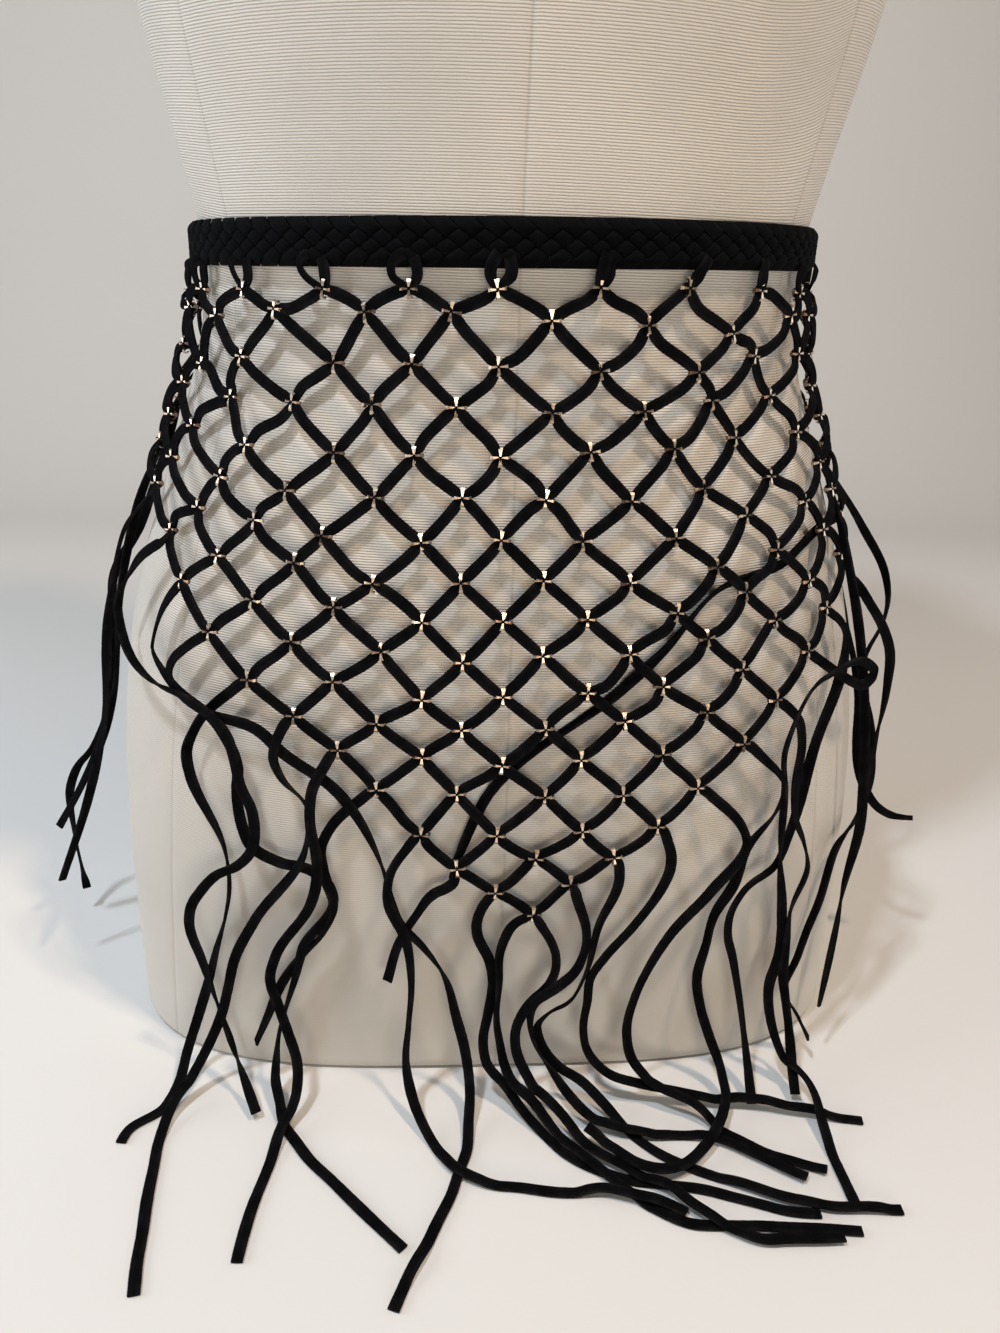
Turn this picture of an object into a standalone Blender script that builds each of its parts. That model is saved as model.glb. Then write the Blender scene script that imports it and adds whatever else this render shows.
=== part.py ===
"""A hip belt of braided lace with a knotted diamond net and a long fringe, on a limbless dress form.

Metres, +Z up. The form faces -Y and stands at z = 0, with the origin at the centre of its base.
A "turn" is an angle around the form, 0 at the centre front and positive towards +X.
"Across" is the distance along the form's surface from the centre front, positive towards +X.
"""

import math
from bisect import bisect_right
from collections import namedtuple
from functools import lru_cache

import bmesh
import bpy
from mathutils import Vector

# Form, from the floor up: outline of each section, squarer where square is larger
Section = namedtuple("Section", "height half_width front back square")
FORM = (
    Section(0.000, 0.1700, 0.1165, 0.1165, 3.60),
    Section(0.050, 0.1718, 0.1195, 0.1210, 3.20),
    Section(0.100, 0.1726, 0.1213, 0.1250, 2.85),
    Section(0.150, 0.1694, 0.1196, 0.1235, 2.65),
    Section(0.200, 0.1604, 0.1150, 0.1180, 2.45),
    Section(0.250, 0.1440, 0.1058, 0.1070, 2.25),
    Section(0.300, 0.1285, 0.0970, 0.0970, 2.05),
    Section(0.335, 0.1255, 0.0958, 0.0955, 2.00),
    Section(0.370, 0.1318, 0.1003, 0.0980, 2.00),
    Section(0.410, 0.1412, 0.1073, 0.1010, 2.00),
    Section(0.450, 0.1491, 0.1135, 0.1030, 2.00),
    Section(0.500, 0.1530, 0.1190, 0.1040, 2.05),
    Section(0.560, 0.1580, 0.1130, 0.1030, 2.10),
    Section(0.620, 0.1690, 0.0960, 0.0980, 2.15),
    Section(0.660, 0.1660, 0.0800, 0.0880, 2.15),
    Section(0.695, 0.1330, 0.0650, 0.0720, 2.10),
    Section(0.720, 0.0860, 0.0560, 0.0620, 2.05),
    Section(0.745, 0.0590, 0.0520, 0.0560, 2.00),
    Section(0.795, 0.0540, 0.0500, 0.0520, 2.00),
)
WAIST = FORM[7]
FORM_COLUMNS = 48
FORM_RINGS = (0.004, 0.03, 0.06, 0.09, 0.12, 0.15, 0.18, 0.21, 0.24, 0.27, 0.295, 0.315, 0.3275, 0.34,
              0.3525, 0.37, 0.41, 0.45, 0.49, 0.53, 0.57, 0.61, 0.64, 0.665, 0.685, 0.705, 0.72, 0.735,
              0.75, 0.77, 0.795)
BASE_EDGE = 0.003
NECK_CAP_HEIGHT = 0.009
NECK_CAP_OVERHANG = 0.0015
NECK_CAP_ROUND = 0.0025
SEAM_GAP = 0.0003

# Belt
BELT_TOP = 0.346
BELT_HEIGHT = 0.0155
BELT_TILT = 0.022
BELT_CLEAR = 0.0006
BELT_THICK = 0.0042
BELT_EDGE_THICK = 0.0030
FOLD_PITCH = 0.0085
FOLD_RELIEF = 0.0005
FOLD_ROWS = 5
BELT_OPENING = 0.003
TAB_LENGTH = 0.044
TAB_HEIGHT = 0.0135
TAB_THICK = 0.0016
TAB_STEPS = 10
STUD_RADIUS = 0.0045
STUD_HEIGHT = 0.0018
STUD_SPREAD = 0.0125

# Lace and net: one loop of lace hangs from the belt at each count, rows run down from it
LACE_WIDTH = 0.0044
LACE_THICK = 0.0012
LACES = 18
LAST_ROW = LACES - 1
NET_MIDDLE = LAST_ROW / 2
LOOP_PITCH = 0.03322
PITCH_LOSS = 0.00047
PITCH_RETURN = 0.00002
BELT_SHIFT = 0.0124
ROW_0_DROP = 0.0074
ROW_1_DROP = 0.0164
ROW_DROP_START = 0.0039
ROW_DROP = 0.01476
ROW_GAIN = 0.00004
HIP_LIFT = 0.0514
MEAN_RADIUS = 0.115
NET_OUT = 0.0055
LAYER = 0.0009
BOW = 0.0016
BOW_REACH = 4.0
WANDER = 0.0011
LACE_TRIM = 0.17

# Small eye of each lace under the belt: offsets from its crossing, and place between the layers
EYE = (
    (0.0034, 0.0030, -0.6),
    (0.0022, 0.0050, -0.3),
    (0.0000, 0.0056, 0.0),
    (-0.0022, 0.0050, 0.3),
    (-0.0034, 0.0030, 0.6),
)
EYE_WIDTH = 0.0028
EYE_LEAN = 0.35
EYE_END = (0.0023, 0.0021)

# Fringe: each lace end leaves the net's edge at its row
# hang lists (height in mm, turn in degrees), floor lists (turn in degrees, distance out in mm)
Strand = namedtuple("Strand", "row layer pile swing hang floor")
LEFT_STRANDS = (
    Strand(0, 0, 0, 0.000, ((270, -146), (210, -149), (150, -147), (95, -150)), ()),
    Strand(1, 1, 0, 0.000, ((270, -131), (210, -133), (150, -130), (80, -133)), ()),
    Strand(2, 0, 0, 0.000, ((250, -118), (200, -121), (140, -117), (70, -120)), ()),
    Strand(3, 1, 0, 0.004, ((230, -104), (190, -107), (130, -102), (62, -106)), ()),
    Strand(4, 0, 0, 0.024, ((225, -92), (185, -88), (140, -91), (92, -90)), ()),
    Strand(5, 1, 0, 0.026, ((222, -84), (184, -79), (140, -82), (66, -80)), ()),
    Strand(6, 2, 0, 0.022, ((218, -76), (180, -72), (140, -74), (70, -73)), ()),
    Strand(7, 3, 1, 0.000, ((216, -69), (190, -66), (168, -50), (128, -40), (112, -41), (82, -50), (56, -50),
                            (14, -52)), ((-53, 38),)),
    Strand(8, 1, 0, 0.000, ((198, -62), (182, -62), (162, -52), (136, -43), (115, -40), (104, -31), (90, -28),
                            (40, -34), (14, -36)), ((-34, 38), (-24, 60), (-11, 90))),
    Strand(9, 2, 0, 0.000, ((188, -53), (172, -47), (157, -36), (135, -26), (112, -19), (84, -17), (60, -10),
                            (20, -6)), ((-6, 58), (-8, 86), (-11, 122))),
    Strand(10, 0, 0, 0.000, ((166, -48), (151, -50), (124, -45), (103, -43), (71, -45), (28, -49)),
           ((-45, 38), (-44, 65))),
    Strand(11, 4, 2, 0.000, ((162, -37), (152, -37), (136, -32), (121, -33), (79, -41), (45, -44), (12, -41)),
           ((-35, 62), (-31, 120))),
    Strand(12, 5, 3, 0.000, ((145, -29), (130, -29), (115, -30), (87, -33), (53, -38), (18, -33)),
           ((-31, 40), (-25, 103))),
    Strand(13, 0, 0, 0.000, ((127, -28), (118, -29), (94, -28), (68, -34), (22, -40)), ()),
    Strand(14, 4, 2, 0.000, ((112, -19), (101, -20), (80, -16), (48, -17), (13, -16)),
           ((-6, 60), (3, 67), (12, 71), (19, 84))),
    Strand(15, 1, 0, 0.000, ((93, -14), (58, -20)), ()),
    Strand(16, 0, 0, 0.000, ((91, -4), (80, -4), (67, -3), (50, -3), (26, -3), (11, 0)),
           ((2, 33), (15, 62), (32, 95))),
    Strand(17, 0, 1, 0.000, ((68, 0), (32, 0), (16, 3)), ((7, 32), (16, 57), (34, 80))),
)
RIGHT_STRANDS = (
    Strand(0, 0, 0, 0.000, ((270, 150), (210, 153), (150, 150), (90, 153)), ()),
    Strand(1, 1, 0, 0.000, ((270, 136), (210, 139), (150, 135), (74, 138)), ()),
    Strand(2, 0, 0, 0.000, ((250, 123), (200, 126), (140, 122), (84, 126)), ()),
    Strand(3, 1, 0, 0.004, ((240, 110), (190, 113), (130, 108), (66, 111)), ()),
    Strand(4, 0, 0, 0.012, ((238, 98), (190, 96), (140, 94), (76, 92)), ()),
    Strand(5, 1, 0, 0.020, ((232, 88), (190, 84), (140, 80), (105, 67)), ()),
    Strand(6, 3, 0, 0.008, ((235, 73), (199, 76), (156, 69), (117, 63), (85, 63), (22, 54)), ()),
    Strand(7, -3, 0, 0.000, ((237, 68), (225, 53), (212, 36), (194, 23), (179, 16), (162, 6), (139, -6),
                             (112, -9)), ()),
    Strand(8, 0, 0, 0.000, ((216, 63), (196, 61), (170, 57), (134, 58), (97, 56), (53, 50), (14, 49)), ()),
    Strand(9, 2, 0, 0.000, ((186, 59), (178, 66), (168, 62), (160, 53), (122, 49), (99, 50), (54, 47)),
           ((42, 39),)),
    Strand(10, 4, 1, 0.000, ((165, 50), (149, 48), (115, 48), (82, 46), (34, 44)), ((45, 33), (35, 93))),
    Strand(11, 5, 0, 0.000, ((152, 43), (120, 43), (84, 38), (37, 41)), ((37, 36),)),
    Strand(12, 1, 6, 0.000, ((133, 44), (112, 40), (89, 35), (53, 34), (12, 37)), ((34, 34), (21, 61), (12, 37))),
    Strand(13, 3, 2, 0.000, ((122, 39), (112, 39), (93, 34), (80, 29), (55, 25), (35, 23), (19, 23), (10, 26)),
           ((30, 47), (36, 79))),
    Strand(14, 1, 0, 0.000, ((101, 27), (63, 17), (41, 15), (25, 16), (14, 19)), ((26, 25), (45, 61))),
    Strand(15, 2, 2, 0.000, ((107, 19), (77, 16), (43, 12), (38, 7), (23, 8), (8, 19)), ((23, 48), (38, 102))),
    Strand(16, 5, 5, 0.000, ((77, 15), (63, 14), (40, 6), (27, 7), (15, 10)), ((13, 33), (27, 47), (36, 80))),
    Strand(17, 4, 2, 0.000, ((74, 9), (64, 10), (44, 5), (32, 3), (20, 4)), ((9, 36), (16, 62), (33, 104))),
)
FRINGE_GROUPS = ((0, 4), (4, 8), (8, 11), (11, 14), (14, 17))
STRAND_WIDTH = 0.0040
STRAND_THICK = 0.0010
STRAND_STEP = 0.015
STRAND_OUT = 0.0085
LAYER_STEP = 0.0021
FLARE = 0.030
FLARE_DECAY = 0.014
FLOOR_LIFT = 0.0014
FLOOR_STEP = 0.0015
FACE_UP_BELOW = 0.025
BACKING_THICK = 0.0013
BACKING_LEAD = 0.12
BACKING_END = 0.14
TIP_OVERRUN = 0.05


def spline(xs, ys, x):
    """Height at x of the smooth curve through the points (xs, ys)."""
    last = len(xs) - 1
    x = min(max(x, xs[0]), xs[last])
    right = min(max(bisect_right(xs, x), 1), last)
    left = right - 1

    def slope(at):
        low, high = max(at - 1, 0), min(at + 1, last)
        return (ys[high] - ys[low]) / (xs[high] - xs[low])

    step = xs[right] - xs[left]
    t = (x - xs[left]) / step
    rest = 1 - t
    value = (1 + 2 * t) * rest * rest * ys[left] + t * t * (3 - 2 * t) * ys[right]
    return value + step * t * rest * (rest * slope(left) - t * slope(right))


HEIGHTS = [section.height for section in FORM]
COLUMNS = [[section[column] for section in FORM] for column in range(1, 5)]


def reach(turn, height):
    """Distance from the form's axis to its surface."""
    half_width, front, back, square = (spline(HEIGHTS, column, height) for column in COLUMNS)
    side, ahead = math.sin(turn), math.cos(turn)
    depth = front if ahead > 0 else back
    return (abs(side / half_width) ** square + abs(ahead / depth) ** square) ** (-1 / square)


def polar(turn, height, out=0.0):
    """Point at a distance out from the form's surface, straight away from its axis."""
    radius = reach(turn, height) + out
    return Vector((radius * math.sin(turn), -radius * math.cos(turn), height))


def facing(turn, height):
    """Outward normal of the form's surface."""
    nudge = 0.002
    along = polar(turn + nudge, height) - polar(turn - nudge, height)
    up = polar(turn, height + nudge) - polar(turn, height - nudge)
    return along.cross(up).normalized()


@lru_cache(maxsize=None)
def arc_table(height_mm):
    """Turns, and the distances across at each, around the section at this height."""
    turns = [math.radians(step) for step in range(-180, 181, 3)]
    points = [polar(turn, height_mm / 1000) for turn in turns]
    lengths = [0.0]
    for before, after in zip(points, points[1:]):
        lengths.append(lengths[-1] + (after - before).length)
    middle = lengths[len(lengths) // 2]
    return turns, [length - middle for length in lengths]


def turn_at(across, height):
    """Turn of the place that lies this far along the surface from the centre front."""
    turns, lengths = arc_table(round(height * 1000))
    return spline(lengths, turns, across)


def new_material(name, colour, roughness, metallic=0.0):
    material = bpy.data.materials.new(name)
    material.use_nodes = True
    shader = material.node_tree.nodes["Principled BSDF"]
    shader.inputs["Base Color"].default_value = (*colour, 1.0)
    shader.inputs["Roughness"].default_value = roughness
    shader.inputs["Metallic"].default_value = metallic
    return material


def new_collection(name):
    collection = bpy.data.collections.new(name)
    bpy.context.scene.collection.children.link(collection)
    return collection


def new_object(name, bm, collection, material):
    """Object made from a bmesh, with its faces turned outwards."""
    bmesh.ops.recalc_face_normals(bm, faces=bm.faces)
    mesh = bpy.data.meshes.new(name)
    bm.to_mesh(mesh)
    bm.free()
    mesh.materials.append(material)
    obj = bpy.data.objects.new(name, mesh)
    collection.objects.link(obj)
    return obj


def loft(loops):
    """Closed skin over a row of loops of points, flat at both ends."""
    bm = bmesh.new()
    rings = [[bm.verts.new(point) for point in loop] for loop in loops]
    for ring, following in zip(rings, rings[1:]):
        for corner in range(len(ring)):
            past = (corner + 1) % len(ring)
            bm.faces.new((ring[corner], ring[past], following[past], following[corner]))
    bm.faces.new(rings[0])
    bm.faces.new(rings[-1])
    return bm


def ribbon_loops(points, normals, widths, thick):
    """Four corners of a flat lace at each point of its path."""
    loops = []
    last = len(points) - 1
    for at, point in enumerate(points):
        ahead = (points[min(at + 1, last)] - points[max(at - 1, 0)]).normalized()
        side = ahead.cross(normals[at]).normalized()
        face = side.cross(ahead).normalized()
        half = side * widths[at] / 2
        deep = face * thick / 2
        loops.append((point + half + deep, point - half + deep, point - half - deep, point + half - deep))
    return loops


def add_form(collection, material):
    """Torso from hips to neck, with flat ends and a narrow rounded base edge."""
    turns = [math.tau * column / FORM_COLUMNS for column in range(FORM_COLUMNS)]
    loops = [[polar(turn, 0.0, -BASE_EDGE) for turn in turns]]
    for height in FORM_RINGS:
        loops.append([polar(turn, height) for turn in turns])
    form = new_object("form_torso", loft(loops), collection, material)
    form.data.shade_smooth()
    form.data.set_sharp_from_angle(angle=math.radians(40))


def add_neck_cap(collection, material):
    """Oval lid on the neck."""
    bm = bmesh.new()
    bmesh.ops.create_cone(bm, cap_ends=True, segments=40, radius1=1.0, radius2=1.0, depth=NECK_CAP_HEIGHT)
    neck = FORM[-1]
    size = (neck.half_width + NECK_CAP_OVERHANG, (neck.front + neck.back) / 2 + NECK_CAP_OVERHANG, 1.0)
    bmesh.ops.scale(bm, vec=size, verts=bm.verts)
    cap = new_object("form_neck_cap", bm, collection, material)
    cap.location = (0, (neck.back - neck.front) / 2, neck.height + SEAM_GAP + NECK_CAP_HEIGHT / 2)
    bevel = cap.modifiers.new("rounded edge", "BEVEL")
    bevel.width = NECK_CAP_ROUND
    bevel.segments = 2
    bevel.limit_method = "ANGLE"


def belt_height(across):
    """Height of the belt's middle line, which sits a little higher at one side."""
    return BELT_TOP - BELT_HEIGHT / 2 + belt_rise(across)


def belt_rise(across):
    return BELT_TILT * WAIST.half_width * math.sin(across / MEAN_RADIUS)


def on_belt(across, up, out):
    """Point of a strip worn around the waist, up from its middle line and out from the form."""
    height = belt_height(across)
    turn = turn_at(across, height)
    widest = max(reach(turn, height + edge) for edge in (-BELT_HEIGHT / 2, 0, BELT_HEIGHT / 2))
    outward = facing(turn, height)
    outward.z = 0
    seat = polar(turn, height, widest - reach(turn, height))
    return seat + outward.normalized() * out + Vector((0, 0, up))


def waist_ends():
    """Distances across at which the waist meets itself at the back."""
    lengths = arc_table(round(belt_height(0.0) * 1000))[1]
    return lengths[0], lengths[-1]


def add_belt(collection, material):
    """Braided band, open at the centre back, its crossings raised on the outer face."""
    start, end = waist_ends()
    start += BELT_OPENING / 2
    end -= BELT_OPENING / 2
    steps = round((end - start) / (FOLD_PITCH / 2))
    loops = []
    for step in range(steps + 1):
        across = start + (end - start) * step / steps
        outer = []
        for row in range(FOLD_ROWS + 1):
            up = BELT_HEIGHT * (row / FOLD_ROWS - 0.5)
            edge = row in (0, FOLD_ROWS)
            raised = FOLD_RELIEF * (1 if (row + step) % 2 else -1)
            outer.append((up, BELT_CLEAR + (BELT_EDGE_THICK if edge else BELT_THICK) + raised))
        inner = [(BELT_HEIGHT / 2, BELT_CLEAR), (-BELT_HEIGHT / 2, BELT_CLEAR)]
        loops.append([on_belt(across, up, out) for up, out in outer + inner])
    new_object("belt_braid", loft(loops), collection, material)


def add_closure(collection, leather, brass):
    """Snap tab over the belt's two ends at the centre back."""
    start, end = waist_ends()
    inner = BELT_CLEAR + BELT_THICK + FOLD_RELIEF + SEAM_GAP
    outer = inner + TAB_THICK
    corners = ((TAB_HEIGHT / 2, inner), (TAB_HEIGHT / 2, outer), (-TAB_HEIGHT / 2, outer),
               (-TAB_HEIGHT / 2, inner))
    loops = []
    for step in range(TAB_STEPS + 1):
        aside = TAB_LENGTH * (step / TAB_STEPS - 0.5)
        across = end - aside if aside > 0 else start - aside
        loops.append([on_belt(across, up, out) for up, out in corners])
    new_object("belt_tab", loft(loops), collection, leather)
    for name, across in (("belt_stud_right", end - STUD_SPREAD), ("belt_stud_left", start + STUD_SPREAD)):
        bm = bmesh.new()
        bmesh.ops.create_cone(bm, cap_ends=True, segments=20, radius1=STUD_RADIUS, radius2=STUD_RADIUS * 0.6,
                              depth=STUD_HEIGHT)
        stud = new_object(name, bm, collection, brass)
        turn = turn_at(across, belt_height(across))
        outward = facing(turn, belt_height(across))
        outward.z = 0
        stud.rotation_mode = "QUATERNION"
        stud.rotation_quaternion = outward.to_track_quat("Z", "Y")
        stud.location = on_belt(across, 0.0, outer + SEAM_GAP + STUD_HEIGHT / 2)


def row_drop(row):
    """Distance of a row of crossings below the belt's lower edge."""
    if row < 1:
        return ROW_0_DROP
    if row < 2:
        return ROW_1_DROP
    return ROW_DROP_START + ROW_DROP * row - ROW_GAIN * row * row


def crossing(loop, row):
    """Distance across and height of the crossing at this count along the belt and this row."""
    wide = loop - NET_MIDDLE
    pitch = LOOP_PITCH - PITCH_LOSS * row + PITCH_RETURN * row * row
    across = BELT_SHIFT + wide * pitch
    height = BELT_TOP - BELT_HEIGHT + belt_rise(across) - row_drop(row)
    height += HIP_LIFT * across * across * max(row - 2, 0)
    if row > 0:
        across += WANDER * math.sin(2.1 * row + 3.7 * loop)
        height += WANDER * math.cos(1.7 * row - 2.9 * loop)
    return across, height


def leg_place(lace, side, row):
    """Distance across and height on one leg of a lace. Side is 1 for the leg towards +X."""
    whole = math.floor(row)
    above = crossing(lace + side * whole / 2, whole)
    below = crossing(lace + side * (whole + 1) / 2, whole + 1)
    part = row - whole
    middle_loop = lace + side * (whole + 0.5) / 2 - NET_MIDDLE
    bow = BOW * min(max(middle_loop / BOW_REACH, -1), 1) * (1 - abs(2 * part - 1))
    return above[0] + (below[0] - above[0]) * part + bow, above[1] + (below[1] - above[1]) * part


def net_point(across, height, layer):
    """Point of the net and its outward normal. Layer is 1 for the outer lace, -1 for the inner."""
    turn = turn_at(across, height)
    normal = facing(turn, height)
    return polar(turn, height) + normal * (NET_OUT + layer * LAYER), normal


def leg_path(lace, side, rows):
    return [net_point(*leg_place(lace, side, row), side) for row in rows]


def half_rows(first, last):
    """Rows from first to last in halves, with both ends."""
    inside = [step / 2 for step in range(math.floor(first * 2) + 1, math.ceil(last * 2))]
    return [first, *inside, last]


def eye_path(lace, whole=True):
    """Small eye of a lace, from its inner leg up to the belt and down to its outer leg."""
    across, height = crossing(lace, 0)
    path = []
    for aside, up, layer in EYE:
        point, normal = net_point(across + aside, height + up, layer)
        point -= normal * up * EYE_LEAN
        path.append((point, normal))
    if not whole:
        aside, up = EYE_END
        path.insert(0, net_point(across + aside, height + up, -1))
        path.append(net_point(across - aside, height + up, 1))
    return path


def add_lace(lace, collection, material):
    """One lace of the net: its eye under the belt and its two legs, which cross below the eye."""
    name = f"lace_{lace:02d}"
    if lace in (0, LAST_ROW):
        path = eye_path(lace, whole=False)
        widths = [EYE_WIDTH] * len(path)
    else:
        inner = leg_path(lace, -1, half_rows(0, lace - LACE_TRIM))[::-1]
        outer = leg_path(lace, 1, half_rows(0, LAST_ROW - lace - LACE_TRIM))
        eye = eye_path(lace)
        path = inner + eye + outer
        widths = [LACE_WIDTH] * len(inner) + [EYE_WIDTH] * len(eye) + [LACE_WIDTH] * len(outer)
    points, normals = zip(*path)
    new_object(name, loft(ribbon_loops(points, normals, widths, LACE_THICK)), collection, material)


def root_edge(side, row):
    """Lace and leg that a strand grows from: the net's edge, whose two laces change sides at the tip."""
    if (side < 0) == (row < LAST_ROW):
        return 0, 1
    return LAST_ROW, -1


def strand_controls(strand, side):
    """Turn, height and distance out of each bend of a fringe strand, from its root."""
    edge_lace, edge_side = root_edge(side, strand.row)
    across, height = leg_place(edge_lace, edge_side, strand.row)
    root, _ = net_point(across, height, edge_side)
    root_turn = math.atan2(root.x, -root.y)
    root_out = math.hypot(root.x, root.y) - reach(root_turn, root.z)
    controls = [(root_turn, root.z, root_out)]
    tip_height = 0.0 if strand.floor else strand.hang[-1][0] / 1000
    for high, turn in strand.hang:
        high /= 1000
        fallen = (root.z - high) / (root.z - tip_height)
        out = STRAND_OUT + strand.layer * LAYER_STEP + strand.swing * fallen ** 2
        if strand.layer >= 0:
            out += FLARE * math.exp(-high / FLARE_DECAY)
        controls.append((math.radians(turn), high, out))
    for turn, out in strand.floor:
        lift = FLOOR_LIFT + strand.pile * FLOOR_STEP
        controls.append((math.radians(turn), lift, out / 1000))
    return controls


def strand_path(strand, side):
    """Points and normals of a fringe strand, at even steps along the smooth curve through its bends."""
    controls = strand_controls(strand, side)
    marks = [0.0]
    for before, after in zip(controls, controls[1:]):
        marks.append(marks[-1] + (polar(*after) - polar(*before)).length)
    columns = list(zip(*controls))
    steps = max(round(marks[-1] / STRAND_STEP), 3)
    floor = FLOOR_LIFT + strand.pile * FLOOR_STEP
    path = []
    for step in range(steps + 1):
        mark = marks[-1] * step / steps
        turn, height, out = (spline(marks, column, mark) for column in columns)
        height = max(height, floor)
        point = polar(turn, height, out)
        upright = min((height - floor) / FACE_UP_BELOW, 1.0)
        normal = facing(turn, height) * upright + Vector((0, 0, 1 - upright))
        path.append((point, normal))
    return path


def add_strip(name, path, width, thick, collection, material):
    points, normals = zip(*path)
    loops = ribbon_loops(points, normals, [width] * len(points), thick)
    return new_object(name, loft(loops), collection, material)


def add_fringe_group(number, side, collection, cutters, material):
    """A stretch of the net's edge, with the strands of its rows fused to it."""
    word = "left" if side < 0 else "right"
    first, past = FRINGE_GROUPS[number]
    at_tip = past == LAST_ROW
    edge_lace, edge_side = (0, 1) if side < 0 else (LAST_ROW, -1)
    last = past + TIP_OVERRUN if at_tip else past - BACKING_END
    rows = half_rows(max(first - BACKING_LEAD, 0), last)
    edge = leg_path(edge_lace, edge_side, rows)
    name = f"fringe_{word}_{number + 1}"
    backing = add_strip(name, edge, LACE_WIDTH, BACKING_THICK, collection, material)
    own, other = (LEFT_STRANDS, RIGHT_STRANDS) if side < 0 else (RIGHT_STRANDS, LEFT_STRANDS)
    strands = [(strand, side) for strand in own if first <= strand.row < past]
    if at_tip:
        strands.append((other[-1], -side))
    for strand, strand_side in strands:
        label = f"{name}_row_{strand.row}"
        piece = add_strip(label, strand_path(strand, strand_side), STRAND_WIDTH, STRAND_THICK, cutters, material)
        piece.hide_render = True
        piece.display_type = "WIRE"
        union = backing.modifiers.new(label, "BOOLEAN")
        union.operation = "UNION"
        union.solver = "EXACT"
        union.object = piece


def main():
    for obj in list(bpy.data.objects):
        bpy.data.objects.remove(obj, do_unlink=True)
    parts = new_collection("fringe_belt_on_dress_form")
    cutters = new_collection("fringe_strands_before_joining")
    cutters.hide_render = True
    cover = new_material("ribbed off-white cover", (0.66, 0.62, 0.56), 0.85)
    wood = new_material("pale cap", (0.58, 0.50, 0.40), 0.55)
    suede = new_material("black suede lace", (0.012, 0.012, 0.014), 0.90)
    leather = new_material("black leather", (0.015, 0.015, 0.016), 0.60)
    brass = new_material("pale brass", (0.72, 0.56, 0.40), 0.30, 1.0)
    add_form(parts, cover)
    add_neck_cap(parts, wood)
    add_belt(parts, suede)
    add_closure(parts, leather, brass)
    for lace in range(LACES):
        add_lace(lace, parts, suede)
    for side in (-1, 1):
        for number in range(len(FRINGE_GROUPS)):
            add_fringe_group(number, side, parts, cutters, suede)


main()
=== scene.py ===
"""Fringe belt on a dress form: materials, woven band, net, clasps, fringe, floor, light and camera.

Metres, +Z up, in the solids' frame. The form faces -Y and its base rests at z = 0.
A "turn" is an angle around the form, 0 at the centre front and positive towards +X.
"Across" is the distance along the form's surface from the centre front, positive towards +X.
"""

import math
import random
from bisect import bisect_right
from collections import namedtuple
from functools import lru_cache

import bpy
from mathutils import Matrix, Vector


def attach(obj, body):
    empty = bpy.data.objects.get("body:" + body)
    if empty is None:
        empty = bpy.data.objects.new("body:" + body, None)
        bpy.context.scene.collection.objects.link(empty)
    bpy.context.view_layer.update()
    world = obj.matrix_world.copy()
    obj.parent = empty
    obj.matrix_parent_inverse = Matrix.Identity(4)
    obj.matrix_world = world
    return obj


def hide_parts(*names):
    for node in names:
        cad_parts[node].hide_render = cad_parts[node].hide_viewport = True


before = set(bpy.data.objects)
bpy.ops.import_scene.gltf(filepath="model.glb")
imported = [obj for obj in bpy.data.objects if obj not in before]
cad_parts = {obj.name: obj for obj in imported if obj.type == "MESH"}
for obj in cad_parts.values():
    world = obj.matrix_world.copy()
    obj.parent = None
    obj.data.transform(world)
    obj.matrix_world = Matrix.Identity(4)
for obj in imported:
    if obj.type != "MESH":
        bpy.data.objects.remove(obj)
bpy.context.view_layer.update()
MM = 0.001

# Form, from the floor up, as in the solids
Section = namedtuple("Section", "height half_width front back square")
FORM = (
    Section(0.000, 0.1700, 0.1165, 0.1165, 3.60),
    Section(0.050, 0.1718, 0.1195, 0.1210, 3.20),
    Section(0.100, 0.1726, 0.1213, 0.1250, 2.85),
    Section(0.150, 0.1694, 0.1196, 0.1235, 2.65),
    Section(0.200, 0.1604, 0.1150, 0.1180, 2.45),
    Section(0.250, 0.1440, 0.1058, 0.1070, 2.25),
    Section(0.300, 0.1285, 0.0970, 0.0970, 2.05),
    Section(0.335, 0.1255, 0.0958, 0.0955, 2.00),
    Section(0.370, 0.1318, 0.1003, 0.0980, 2.00),
    Section(0.410, 0.1412, 0.1073, 0.1010, 2.00),
    Section(0.450, 0.1491, 0.1135, 0.1030, 2.00),
    Section(0.500, 0.1530, 0.1190, 0.1040, 2.05),
    Section(0.560, 0.1580, 0.1130, 0.1030, 2.10),
    Section(0.620, 0.1690, 0.0960, 0.0980, 2.15),
    Section(0.660, 0.1660, 0.0800, 0.0880, 2.15),
    Section(0.695, 0.1330, 0.0650, 0.0720, 2.10),
    Section(0.720, 0.0860, 0.0560, 0.0620, 2.05),
    Section(0.745, 0.0590, 0.0520, 0.0560, 2.00),
    Section(0.795, 0.0540, 0.0500, 0.0520, 2.00),
)
WAIST = FORM[7]
PANEL_COLUMNS = 22
FORM_RING_STEP = 0.005
# Lowest rings of the cover: height, and its share of the inset that rounds the base edge
BASE_RINGS = ((0.0, 1.0), (0.001, 0.4), (0.003, 0.0), (0.006, 0.0))
BASE_ROUND = 0.003

# Seams of the cover: turns at rising heights, mirrored for the other side
SEAM_HEIGHTS = (0.0, 0.10, 0.20, 0.28, 0.34, 0.42, 0.50, 0.58, 0.66, 0.70, 0.80)
PRINCESS_TURNS = (57, 56, 57, 61, 64, 62, 54, 46, 40, 44, 48)
SIDE_TURNS = (92, 92, 92, 92, 92, 92, 92, 93, 95, 95, 95)
BACK_TURNS = (127, 127, 126, 122, 120, 122, 127, 132, 138, 136, 134)
SEAM_DEPTH = 0.0004
SEAM_HALF_WIDTH = 0.0008
# Distances from a seam at which the cover has points of its own
SEAM_STEPS = (0.0, 0.0004, 0.0008, 0.0016)
RIB_PITCH = 0.00096
RIB_LEAN = 0.10
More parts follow.
